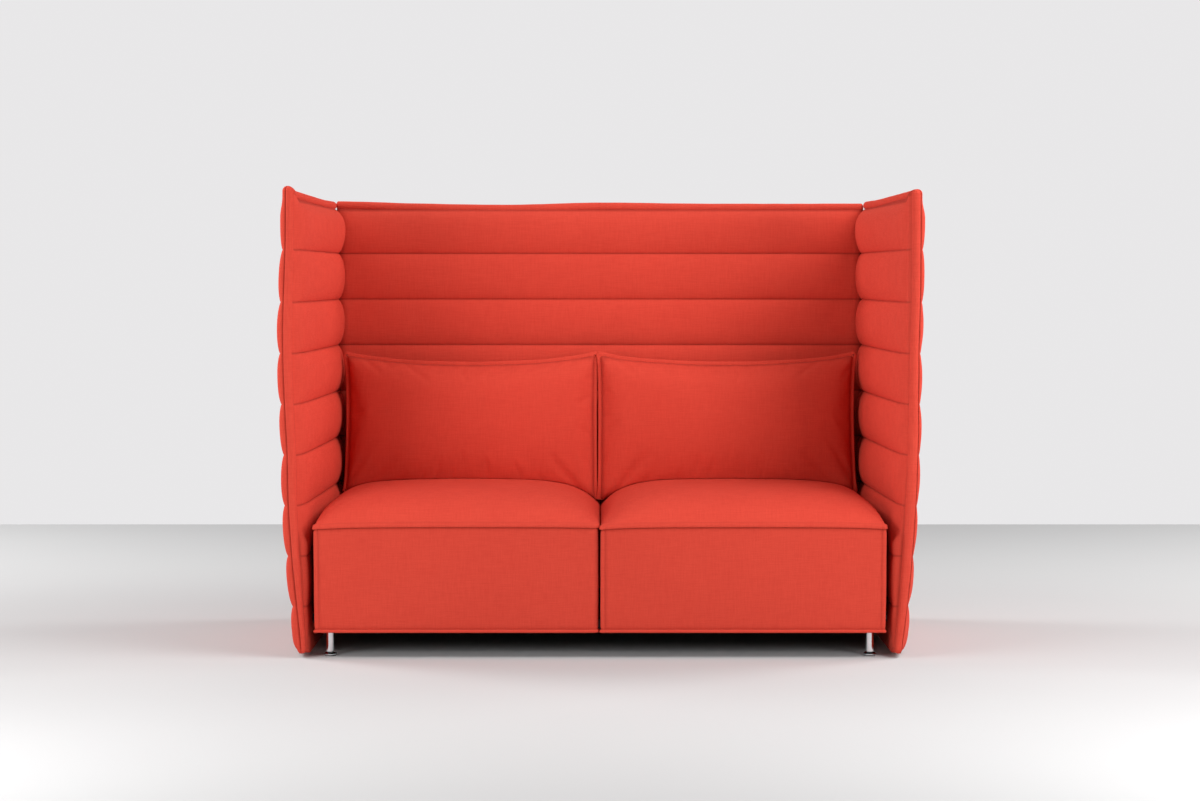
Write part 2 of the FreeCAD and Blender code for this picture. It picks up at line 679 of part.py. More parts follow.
def zip_slider():
    """Two plates joined by a web that runs between the two rows of teeth, and the pull's pin."""
    half = "sizes.slider_width / 2"
    near = "(sizes.zip_chain / 2 + sizes.slider_clearance)"
    far = f"({near} + sizes.slider_plate)"
    size = ("sizes.slider_width", "sizes.slider_plate", "sizes.slider_height")
    front = box((f"-{half}", near, "sizes.slider_rest"), size)
    back = box((f"-{half}", f"-{far}", "sizes.slider_rest"), size)
    web = box(("-sizes.slider_web / 2", f"-{far}", "sizes.slider_rest"),
              ("sizes.slider_web", f"2 * {far}", "sizes.slider_height"))
    lug = box(("-sizes.slider_plate", near, f"{PULL_HEIGHT} - 2 * sizes.slider_plate"),
              ("2 * sizes.slider_plate", f"sizes.pull_offset + sizes.pull_pin - {near}",
               "4 * sizes.slider_plate"))
    pin = cylinder(("-sizes.pull_width / 2", "sizes.pull_offset", PULL_HEIGHT), "sizes.pull_pin",
                   "sizes.pull_width", FreeCAD.Rotation(vector(0, 1, 0), 90))
    return fuse((front, back, web, lug, pin))


def zip_pull():
    """A flat tab that hangs from the slider's pin by two eyes."""
    sideways = FreeCAD.Rotation(vector(0, 1, 0), 90)
    half = "sizes.pull_width / 2"
    hub = cylinder((f"-{half}", "sizes.pull_offset", PULL_HEIGHT), "sizes.pull_eye",
                   "sizes.pull_width", sideways)
    tab = box((f"-{half}", "sizes.pull_offset - sizes.pull_thickness / 2",
               f"{PULL_HEIGHT} - sizes.pull_length"),
              ("sizes.pull_width", "sizes.pull_thickness", "sizes.pull_length"))
    slot_half = "(sizes.slider_plate + sizes.slider_clearance)"
    slot = box((f"-{slot_half}", "sizes.pull_offset - sizes.pull_eye",
                f"{PULL_HEIGHT} - sizes.pull_slot"),
               (f"2 * {slot_half}", "2 * sizes.pull_eye", "2 * sizes.pull_slot"))
    bore = cylinder((f"-{half}", "sizes.pull_offset", PULL_HEIGHT),
                    "sizes.pull_pin + 2 * sizes.stem_clearance", "sizes.pull_width", sideways)
    return cut(fuse((hub, tab)), fuse((slot, bore)))


def zips():
    for side, sign in (("left", -1), ("right", 1)):
        zip_parts(side, sign)


# Seat blocks
def rounded_section(low, high, inset, corner, z):
    """A rectangle between two plan corners, drawn in and with round corners."""
    x0, y0 = low.x + inset, low.y + inset
    x1, y1 = high.x - inset, high.y - inset
    slant = corner * (1 - math.sqrt(0.5))
    edges = []
    rounds = ((x1, y0, -1, 1), (x1, y1, -1, -1), (x0, y1, 1, -1), (x0, y0, 1, 1))
    previous = vector(x0 + corner, y0, z)
    for index, (x, y, sx, sy) in enumerate(rounds):
        ends = [vector(x + sx * corner, y, z), vector(x, y + sy * corner, z)]
        if index % 2:
            ends.reverse()
        edges.append(line(previous, ends[0]))
        middle = vector(x + sx * slant, y + sy * slant, z)
        edges.append(Part.Arc(ends[0], middle, ends[1]).toShape())
        previous = ends[1]
    return Part.Wire(edges)


# Shape of a seat's crown: its sections, how far they draw in, and their round corners
CROWN_STEPS = 6
CROWN_INSET = 190
CORNER_START = 8
CORNER_GROWTH = 0.6


def seat_block(sign):
    """Upright walls that draw in a little, under a crown that rises in a smooth curve."""
    near = value("sizes.seat_gap")
    far = value(SEAT_SIDE)
    xs = sorted((sign * near, sign * far))
    low = vector(xs[0], value(SEAT_FRONT), 0)
    high = vector(xs[1], value(SEAT_REAR), 0)
    base = value("sizes.skirt_base")
    flange = value("sizes.flange_height")
    rise = value("sizes.crown_height") - flange
    walls = ((base, 0), (base + value("sizes.skirt_draw_height"), value("sizes.skirt_draw")),
             (flange, 0))
    sections = [rounded_section(low, high, inset, CORNER_START, z) for z, inset in walls]
    for step in range(1, CROWN_STEPS + 1):
        angle = math.pi / 2 * step / CROWN_STEPS
        inset = CROWN_INSET * (1 - math.cos(angle))
        corner = CORNER_START + inset * CORNER_GROWTH
        sections.append(rounded_section(low, high, inset, corner, flange + rise * math.sin(angle)))
    return Part.makeLoft(sections, True, True)


def seats():
    for side, sign in (("left", -1), ("right", 1)):
        form = solid_feature(seat_block(sign))
        inside = f"({SEAT_SIDE} - sizes.skirt_wall)"
        front = f"({SEAT_FRONT} + sizes.skirt_wall)"
        depth = f"({SEAT_REAR} - sizes.skirt_wall - {front})"
        low = f"-{inside}" if sign < 0 else "-sizes.skirt_wall"
        hollow = box((low, front, "sizes.skirt_base - sizes.skirt_wall"),
                     (f"{inside} + sizes.skirt_wall", depth,
                      f"{FOAM_BASE} - sizes.skirt_base + sizes.skirt_wall"))
        notches = placed_copies(bracket_clearance, side) + placed_copies(bracket_clearance, "back")
        keep(cut(form, fuse([hollow] + notches)), f"{side}_seat_cushion")


# Back cushions
def cushion_section(depth, inset, sag, draw):
    """A four-sided outline in the cushion's own plane, its edges bowed between the corners."""
    half = value("sizes.cushion_width") / 2 - inset
    low, high = inset, value("sizes.cushion_height") - inset
    corners = [vector(-half, depth, low), vector(half, depth, low),
               vector(half, depth, high), vector(-half, depth, high)]
    bows = (vector(0, 0, draw), vector(-draw, 0, 0), vector(0, 0, -sag), vector(draw, 0, 0))
    edges = []
    for index, bow in enumerate(bows):
        start, end = corners[index], corners[(index + 1) % 4]
        edges.append(Part.Arc(start, (start + end) / 2 + bow, end).toShape())
    return Part.Wire(edges)


# Shape of a cushion's faces: their sections, and how those draw in towards the middle
CUSHION_STEPS = 4
CUSHION_INSET = 120
CUSHION_CURVE = 1.5


def back_cushion():
    """A pillow that is thin at its seam and full in the middle."""
    half = value("sizes.cushion_thickness") / 2
    sag = value("sizes.cushion_sag")
    draw = value("sizes.cushion_draw")
    bulge = value("sizes.cushion_bulge")
    faces = []
    for step in range(CUSHION_STEPS, 0, -1):
        angle = math.pi / 2 * step / CUSHION_STEPS
        inset = CUSHION_INSET * (1 - math.cos(angle)) ** CUSHION_CURVE
        faces.append((half * math.sin(angle), inset, 1 - step / CUSHION_STEPS))
    stations = [(-depth, inset, share) for depth, inset, share in faces] + [(0, 0, 1)]
    stations += [(depth, inset, share) for depth, inset, share in reversed(faces)]
    sections = [cushion_section(depth, inset, (sag + bulge) * share - bulge,
                                (draw + bulge) * share - bulge)
                for depth, inset, share in stations]
    return Part.makeLoft(sections, True, True)


def back_cushions():
    lean = math.radians(value("sizes.cushion_lean"))
    half_width = value("sizes.cushion_width") / 2
    turned = back_cushion()
    turned.rotate(vector(), vector(1, 0, 0), -math.degrees(lean))
    bounds = turned.BoundBox
    up = value("sizes.crown_height + sizes.cushion_rest") - bounds.ZMin
    back = value(f"{SEAT_REAR} + sizes.seat_back_gap - sizes.cushion_back_gap") - bounds.YMax
    for side, sign in (("left", -1), ("right", 1)):
        cushion = solid_feature(back_cushion())
        across = sign * (value("sizes.cushion_gap") + half_width)
        cushion.Placement = FreeCAD.Placement(
            vector(across, back, up), FreeCAD.Rotation(vector(1, 0, 0), -math.degrees(lean)))
        keep(cushion, f"{side}_back_cushion")


base_frame()
legs()
seat_suspension()
seats()
panels()
zips()
back_cushions()
doc.recompute()

# Every object has to be sound before anything is written
for item in doc.Objects:
    if "Invalid" in item.State or "Error" in item.State:
        raise RuntimeError(f"{item.Name} ({item.Label}) failed: {item.State}")
for node in nodes:
    if node.Shape.isNull() or not node.Shape.isValid():
        raise RuntimeError(f"{node.Label} has a bad shape")
    if not node.Shape.Solids:
        raise RuntimeError(f"{node.Label} holds no solid")

os.makedirs("parts", exist_ok=True)
for node in nodes:
    node.Shape.exportStep(os.path.join("parts", node.Label + ".step"))
print(len(nodes), "sub-parts written")
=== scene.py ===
import math

import bmesh
import bpy
import numpy as np
from mathutils import Matrix, Vector, noise
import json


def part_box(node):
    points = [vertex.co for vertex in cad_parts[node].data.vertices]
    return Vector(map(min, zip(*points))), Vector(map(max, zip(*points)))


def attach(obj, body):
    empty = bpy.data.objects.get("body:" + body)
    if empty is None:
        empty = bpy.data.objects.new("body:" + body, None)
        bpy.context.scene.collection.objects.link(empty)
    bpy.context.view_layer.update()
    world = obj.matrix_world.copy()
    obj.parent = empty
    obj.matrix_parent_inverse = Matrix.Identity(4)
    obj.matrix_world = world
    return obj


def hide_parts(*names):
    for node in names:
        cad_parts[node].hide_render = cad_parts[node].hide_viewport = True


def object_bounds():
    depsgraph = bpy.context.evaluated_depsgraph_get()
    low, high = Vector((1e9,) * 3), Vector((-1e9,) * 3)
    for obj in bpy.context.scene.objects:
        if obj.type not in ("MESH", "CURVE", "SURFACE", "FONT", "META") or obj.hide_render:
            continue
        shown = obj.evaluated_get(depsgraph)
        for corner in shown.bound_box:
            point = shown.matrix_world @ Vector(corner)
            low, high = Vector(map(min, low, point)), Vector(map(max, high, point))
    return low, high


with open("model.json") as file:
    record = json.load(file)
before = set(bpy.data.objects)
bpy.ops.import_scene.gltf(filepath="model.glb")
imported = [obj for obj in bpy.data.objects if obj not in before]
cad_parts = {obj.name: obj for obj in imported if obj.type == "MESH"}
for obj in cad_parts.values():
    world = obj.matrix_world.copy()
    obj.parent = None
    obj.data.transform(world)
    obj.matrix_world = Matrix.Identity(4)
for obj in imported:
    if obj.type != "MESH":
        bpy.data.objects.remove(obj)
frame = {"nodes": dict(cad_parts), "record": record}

# High back settee. Metres, in the frame's own axes: +X to the right seen from
# the front, +Y to the back, +Z up, the floor at z = 0.

cad_low, cad_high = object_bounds()
scene = bpy.context.scene

SIDES = ("left", "right")
MM = 0.001
boxes = {}


def box(node):
    """The low and the high corner of a CAD node, looked up once."""
    if node not in boxes:
        low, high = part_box(node)
        boxes[node] = (Vector(low), Vector(high))
    return boxes[node]


def reach(node, axis, end):
    """The lowest (0) or highest (1) coordinate of a CAD node along an axis."""
    return box(node)[end]["XYZ".index(axis)]


def place_object(name, data):
    made = bpy.data.objects.new(name, data)
    scene.collection.objects.link(made)
    return made


# Camera at the photograph's angle; rows and focal length in pixels of its 1200 by 801 frame
PHOTO_WIDTH = 1200
PHOTO_MIDDLE = 400.5
HORIZON_ROW = 294
FOCAL_PIXELS = 2430
SENSOR = 36
EYE_DISTANCE = 6.34
EYE_HEIGHT = 0.956


def make_camera():
    data = bpy.data.cameras.new("camera")
    data.sensor_width = SENSOR
    data.lens = FOCAL_PIXELS / PHOTO_WIDTH * SENSOR
    camera = place_object("camera", data)
    camera.location = (0, cad_low.y - EYE_DISTANCE, EYE_HEIGHT)
    pitch = math.atan((PHOTO_MIDDLE - HORIZON_ROW) / FOCAL_PIXELS)
    camera.rotation_euler = (math.pi / 2 - pitch, 0, 0)
    scene.camera = camera


make_camera()


# Materials
def new_material(name):
    made = bpy.data.materials.new(name)
    made.use_nodes = True
    tree = made.node_tree
    return made, tree, tree.nodes["Principled BSDF"]


def add(tree, kind, **settings):
    """A new node; names that it has as sockets are set there, the others on the node."""
    made = tree.nodes.new("ShaderNode" + kind)
    for key, setting in settings.items():
        label = key.replace("_", " ").title()
        if label in made.inputs:
            made.inputs[label].default_value = setting
        else:
            setattr(made, key, setting)
    return made


def link(source, target):
    target.id_data.links.new(source, target)


def math_node(operation, first, second=None):
    made = add(first.id_data, "Math", operation=operation)
    for socket, item in zip(made.inputs, (first, second)):
        if isinstance(item, (int, float)):
            socket.default_value = item
        elif item is not None:
            link(item, socket)
    return made.outputs[0]


def place_of(tree, scale=(1, 1, 1)):
    """Object coordinates, stretched by scale."""
    mapping = add(tree, "Mapping", scale=scale)
    link(add(tree, "TexCoord").outputs["Object"], mapping.inputs["Vector"])
    return mapping.outputs[0]


def noise_at(tree, scale, stretch=(1, 1, 1), detail=2.0):
    made = add(tree, "TexNoise", scale=scale, detail=detail)
    link(place_of(tree, stretch), made.inputs["Vector"])
    return made.outputs["Fac"]


def remap(source, low, high, new_low, new_high):
    made = add(source.id_data, "MapRange", from_min=low, from_max=high,
               to_min=new_low, to_max=new_high)
    link(source, made.inputs["Value"])
    return made.outputs["Result"]


def vary(source, low, high):
    """Stretches a noise, which mostly lies between 0.3 and 0.7, to low and high."""
    return remap(source, 0.3, 0.7, low, high)


def mix_colours(share, first, second):
    """Sockets 0, 6 and 7 of the node take the share and the two colours."""
    made = add(share.id_data, "Mix", data_type="RGBA")
    for number, item in ((0, share), (6, first), (7, second)):
        if isinstance(item, tuple):
            made.inputs[number].default_value = (*item, 1)
        else:
            link(item, made.inputs[number])
    return made.outputs[2]


def coat(shader, colour, rough, height, strength, distance):
    """Gives a material its colour, its roughness and its bump."""
    bump = add(shader.id_data, "Bump", strength=strength, distance=distance)
    link(height, bump.inputs["Height"])
    for label, source in (("Base Color", colour), ("Roughness", rough),
                          ("Normal", bump.outputs[0])):
        link(source, shader.inputs[label])


BAND = 2 * math.pi / 20          # period of the band texture at scale 1


def bands(tree, axis, period, spot):
    made = add(tree, "TexWave", bands_direction=axis, scale=BAND / period, distortion=0.6,
               detail=1.0, detail_scale=1.5)
    link(spot, made.inputs["Vector"])
    return made.outputs["Fac"]


def weave_height(tree, period):
    """Crossed threads on whichever pair of axes a face lies along."""
    spot = place_of(tree)
    threads = {axis: bands(tree, axis, period, spot) for axis in "XYZ"}
    parts = add(tree, "SeparateXYZ")
    link(add(tree, "TexCoord").outputs["Normal"], parts.inputs[0])
    total = None
    for axis, pair in (("X", "YZ"), ("Y", "XZ"), ("Z", "XY")):
        weight = math_node("POWER", math_node("ABSOLUTE", parts.outputs[axis]), 3.0)
        crossed = math_node("ADD", threads[pair[0]], threads[pair[1]])
        share = math_node("MULTIPLY", weight, crossed)
        total = share if total is None else math_node("ADD", total, share)
    return total


def fabric(name, deep, plain, light, period):
    """Melange cloth: uneven threads in three shades, with painted shade in its seams and creases.
    """
    made, tree, shader = new_material(name)
    across = noise_at(tree, 1.0, (28, 28, 520), 3.0)
    along = noise_at(tree, 1.0, (520, 28, 28), 3.0)
    flecks = noise_at(tree, 950.0)
    cloudy = noise_at(tree, 5.0)
    threads = remap(math_node("ADD", across, along), 0.72, 1.28, 0.0, 1.0)
    colour = mix_colours(threads, deep, light)
    colour = mix_colours(vary(flecks, 0.6, 0.85), colour, plain)
    colour = mix_colours(vary(cloudy, 0.0, 0.12), colour, deep)
    # Painted shade: a per-point attribute darkens the cloth towards a shaded red in seams and
    # creases.
    seam_shade = add(tree, "Attribute", attribute_name="seam_shade")
    shaded = tuple(channel * 0.45 for channel in deep)
    colour = mix_colours(math_node("MULTIPLY", seam_shade.outputs["Fac"], 0.55), colour, shaded)
    for label, setting in (("Specular IOR Level", 0.2), ("Sheen Weight", 0.15),
                           ("Sheen Roughness", 0.45), ("Sheen Tint", (*light, 1))):
        shader.inputs[label].default_value = setting
    height = math_node("ADD", weave_height(tree, period), math_node("MULTIPLY", threads, 0.8))
    height = math_node("ADD", height, math_node("MULTIPLY", flecks, 0.8))
    coat(shader, colour, vary(flecks, 0.86, 0.98), height, 0.35, 0.0004)
    return made


def metal(name, colour, rough, wear_scale, bump, coated=False):
    made, tree, shader = new_material(name)
    cloudy = noise_at(tree, wear_scale, detail=4.0)
    fine = noise_at(tree, 1.0, (900, 900, 60), 3.0)
    darker = tuple(channel * 0.82 for channel in colour)
    shades = mix_colours(remap(cloudy, 0.35, 0.7, 0.0, 1.0), colour, darker)
    uneven = math_node("ADD", vary(fine, rough * 0.8, rough * 1.25),
                       vary(cloudy, -rough * 0.1, rough * 0.2))
    shader.inputs["Metallic"].default_value = float(not coated)
    coat(shader, shades, uneven, cloudy if coated else fine, bump, 0.0002)
    return made


def moulded(name, colour, rough):
    made, tree, shader = new_material(name)
    grain = noise_at(tree, 1400.0)
    scuffs = noise_at(tree, 30.0, detail=5.0)
    paler = tuple(channel * 1.7 + 0.01 for channel in colour)
    shades = mix_colours(remap(scuffs, 0.55, 0.8, 0.0, 0.6), colour, paler)
    coat(shader, shades, vary(grain, rough * 0.85, rough * 1.15), grain, 0.25, 0.0002)
    return made


def plywood(name):
    made, tree, shader = new_material(name)
    grain = noise_at(tree, 1.0, (60, 6, 160), 5.0)
    plies = bands(tree, "X", 3.4 * MM, place_of(tree))
    colour = mix_colours(vary(grain, 0.0, 1.0), (0.46, 0.30, 0.16), (0.30, 0.17, 0.08))
    colour = mix_colours(math_node("MULTIPLY", plies, 0.35), colour, (0.2, 0.1, 0.05))
    coat(shader, colour, vary(grain, 0.6, 0.8), grain, 0.3, 0.0003)
    return made


def fibres(name, dark, pale, scale):
    """Felt or non-woven cloth: short matted fibres."""
    made, tree, shader = new_material(name)
    mat = noise_at(tree, scale, detail=6.0)
    strands = noise_at(tree, 1.0, (scale * 2, scale * 0.3, scale * 0.3), 3.0)
    both = math_node("ADD", mat, strands)
    shades = mix_colours(remap(both, 0.8, 1.2, 0.0, 1.0), dark, pale)
    shader.inputs["Sheen Weight"].default_value = 0.2
    coat(shader, shades, vary(mat, 0.9, 1.0), both, 0.5, 0.0006)
    return made


DEEP_RED = (0.52, 0.037, 0.022)
PLAIN_RED = (0.64, 0.055, 0.032)
LIGHT_RED = (0.75, 0.090, 0.054)

MATERIALS = {
    "upholstery": fabric("wool_upholstery", DEEP_RED, PLAIN_RED, LIGHT_RED, 1.3 * MM),
    "panel_board": plywood("plywood_board"),
    "base_steel": metal("powder_coat", (0.012, 0.012, 0.014), 0.45, 700.0, 0.3, coated=True),
    "leg_chrome": metal("polished_chrome", (0.80, 0.81, 0.83), 0.06, 40.0, 0.03),
    "black_plastic": moulded("black_plastic", (0.015, 0.015, 0.016), 0.5),
    "zinc_steel": metal("zinc_plate", (0.52, 0.53, 0.55), 0.3, 90.0, 0.15),
    "spring_steel": metal("spring_wire", (0.20, 0.20, 0.22), 0.38, 60.0, 0.2),
    "felt": fibres("grey_felt", (0.10, 0.095, 0.085), (0.22, 0.20, 0.18), 260.0),
    "dust_cloth": fibres("dust_cloth", (0.006, 0.006, 0.006), (0.018, 0.018, 0.019), 420.0),
    "zip_tape": fabric("zip_tape", (0.36, 0.026, 0.016), (0.42, 0.032, 0.02),
                       (0.5, 0.05, 0.03), 0.9 * MM),
    "zip_teeth": moulded("zip_teeth", (0.34, 0.024, 0.015), 0.35),
    "zip_metal": metal("zip_nickel", (0.35, 0.35, 0.37), 0.25, 150.0, 0.1),
}


def dress_frame():
    """Every CAD node gets the material of its slot."""
    slots = {row["node"]: row["material_slot"] for row in frame["record"]["subparts"]}
    for node, piece in frame["nodes"].items():
        piece.data.materials.clear()
        piece.data.materials.append(MATERIALS[slots[node]])


dress_frame()


# Mesh helpers
MERGE = 0.02 * MM                # points nearer to each other than this become one


def new_piece(name, points, faces):
    mesh = bpy.data.meshes.new(name)
    mesh.from_pydata([tuple(point) for point in points], [], faces)
    return place_object(name, mesh)


def paint_seam_shade(piece, seam_shade):
    """Says how much painted shade each point gets, standing in for the shadow in seams and
    creases.
    """
    layer = piece.data.attributes.new("seam_shade", "FLOAT", "POINT")
    layer.data.foreach_set("value", np.asarray(seam_shade, np.float32))


def make_piece(name, points, faces, slot, body, seam_shade=None):
    piece = new_piece(name, points, faces)
    if seam_shade is not None:
        paint_seam_shade(piece, seam_shade)
    tidy(piece)
    dress(piece, slot, body)
    return piece


def tidy(piece):
    """Merges doubled points, drops empty faces and turns every face outward."""
    work = bmesh.new()
    work.from_mesh(piece.data)
    bmesh.ops.remove_doubles(work, verts=work.verts, dist=MERGE)
    bmesh.ops.dissolve_degenerate(work, edges=work.edges, dist=MERGE / 2)
    bmesh.ops.recalc_face_normals(work, faces=work.faces)
    work.to_mesh(piece.data)
    work.free()
    piece.data.shade_smooth()


def dress(piece, slot, body):
    piece.data.materials.clear()
    piece.data.materials.append(MATERIALS[slot])
    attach(piece, body)


def ring_faces(rows, columns, start=0):
    """Quads between closed rings of points, one ring after another."""
    faces = []
    for row in range(rows - 1):
        for column in range(columns):
            after = (column + 1) % columns
            low = start + row * columns
            high = low + columns
            faces.append((low + column, low + after, high + after, high + column))
    return faces


def unevenness(u, v, seed, scale):
    return noise.noise(Vector((u * scale, v * scale, seed)))


def clamp(share):
    return min(1.0, max(0.0, share))


def smooth_step(share):
    share = clamp(share)
    return share * share * (3 - 2 * share)


def ease_out(share, power):
    """Rises steeply from 0 and levels off at 1."""
    return 1 - (1 - clamp(share)) ** power


def along_curve(stations, share):
    """A smooth curve through evenly spaced numbers; share runs from 0 to 1."""
    place = clamp(share) * (len(stations) - 1)
    index = min(int(place), len(stations) - 2)
    part = place - index
    before = stations[max(index - 1, 0)]
    first, second = stations[index], stations[index + 1]
    after = stations[min(index + 2, len(stations) - 1)]
    slope_in, slope_out = (second - before) / 2, (after - first) / 2
    return ((2 * part**3 - 3 * part**2 + 1) * first + (part**3 - 2 * part**2 + part) * slope_in
            + (3 * part**2 - 2 * part**3) * second + (part**3 - part**2) * slope_out)


def tube(points, radii, sides):
    """Points and faces of a tube along a path, its ends pointed where the radii fall to nothing.
    """
    path = [Vector(point) for point in points]
    rings = []
    side = None
    for index, spot in enumerate(path):
        ahead = path[min(index + 1, len(path) - 1)] - path[max(index - 1, 0)]
        ahead.normalize()
        if side is None:
            helper = Vector((0, 0, 1)) if abs(ahead.z) < 0.9 else Vector((0, 1, 0))
            side = ahead.cross(helper)
        side = (side - ahead * side.dot(ahead)).normalized()
        up = ahead.cross(side)
        for step in range(sides):
            angle = 2 * math.pi * step / sides
            rings.append(spot + (side * math.cos(angle) + up * math.sin(angle)) * radii[index])
    return rings, ring_faces(len(path), sides)


# Quilted panels
CHANNELS = 9
PANEL_BASE = reach("left_panel_board", "Z", 0)
PANEL_TOP = reach("left_panel_board", "Z", 1)
PITCH = (PANEL_TOP - PANEL_BASE) / CHANNELS
BOARD_HALF = 7 * MM
FRONT = cad_low.y
ROLL = 12.5 * MM                 # radius of the rolls along the top and front edges
ROLL_CENTRE = FRONT + ROLL
CREST = 35 * MM                  # middle of a panel to the crest of a channel
SEAM_DEPTH = 23 * MM             # middle of a panel to its sewn lines
HEM_HALF = 9 * MM
TOP_HALF = 9 * MM
END_HALF = 13 * MM               # half thickness at the zipped ends
BACK_MIDDLE = (reach("back_panel_board", "Y", 0) + reach("back_panel_board", "Y", 1)) / 2
SIDE_MIDDLE = 786 * MM
BOARD_REAR = reach("left_panel_board", "Y", 1)
SIDE_END = BOARD_REAR + 1.5 * MM
BACK_END = reach("back_panel_board", "X", 1) + 5 * MM
REAR_TOP_LEAN = 4 * MM

# The front edge of each side from the floor up: centre and half width of its roll
FRONT_CENTRE = {
    "left": (0.778, 0.788, 0.7985, 0.8055, 0.8075, 0.8135, 0.817, 0.815, 0.8105, 0.809),
    "right": (0.782, 0.7955, 0.806, 0.814, 0.819, 0.8205, 0.8215, 0.825, 0.8255, 0.825),
}
FRONT_HALF = {
    "left": (0.0055, 0.0095, 0.0105, 0.011, 0.0092),
    "right": (0.009, 0.0125, 0.0122, 0.0102, 0.0108),
}
# Beyond the roll's outer seam, low and high: the padding's crests and its sewn lines
SHOULDER_CREST = {"left": (0.024, 0.017), "right": (0.007, 0.015)}
SHOULDER_SEAM = {"left": (0.014, 0.009), "right": (0.003, 0.008)}
SHOULDER_TOP = {"left": 0.0115, "right": 0.0065}
GROOVE = {"left": (0.0012, 0.0012), "right": (0.0036, 0.0012)}
PEAK = {"left": 1.238, "right": 1.2295}
TIP = 11 * MM                    # lowest point of the front rolls

PAD_END = 34 * MM                # stretch over which the padding thins to a zipped end
PAD_FRONT = 95 * MM              # the same towards a front roll
END_POWER = 2.4
FRONT_POWER = 2.2
SHOULDER_REACH = 20 * MM
SWELL_POWER = 2.3
SWELL_ROUND = 0.72
REAR_SWELL = 8 * MM
SEAM_SAG = 8 * MM
PUCKER = 1.3 * MM
PUCKER_FADE = 11 * MM
GENTLE = 1.6 * MM
ROWS = 18                        # rings in one channel
STEP = 9 * MM                    # columns along a face
ROLL_STEPS = 16
ROLL_BACK = math.radians(15)     # how far the front roll turns back to its inner groove
ROLL_SEAM = math.radians(150)    # where its outer seam lies
SEAM_BEHIND = ROLL * (1 - math.sin(ROLL_SEAM))
CREASE = 3.6 * MM
SHOULDER_STEPS = 6
CAP_STEPS = 6
CAP_RISE = 5 * MM
CAP_HUB = ROLL_CENTRE + 4 * MM

# Below the seats' flange the padding beside them is slack
SLACK_TOP = 0.345
SLACK_FRONT = 0.768
SLACK_REAR = 0.779
SLACK_FADE = 0.04
SLACK_HASTE = 7.5                # how much faster it sets in than the swell of the padding

# Where a side's parts lie, measured back from its front edge
GROOVE_PLACE = 17 * MM
INNER_START = 18 * MM
INNER_FACE = 20 * MM
BLEND_START = 24 * MM
BLEND_LENGTH = 45 * MM

BOARD_LEAN = 30 * MM             # outward, at a board's front edge
BOARD_LENGTH = 0.7685
END_SHARE = 0.1                  # part of the front rolls' height that their ends stretch over


def board_middle(u, z):
    """Middle of a side's stiff board, which leans out towards its front edge."""
    rise = clamp((z - PANEL_BASE - PITCH) / (3 * PITCH))
    return SIDE_MIDDLE + BOARD_LEAN * rise * (BOARD_REAR - u) / BOARD_LENGTH


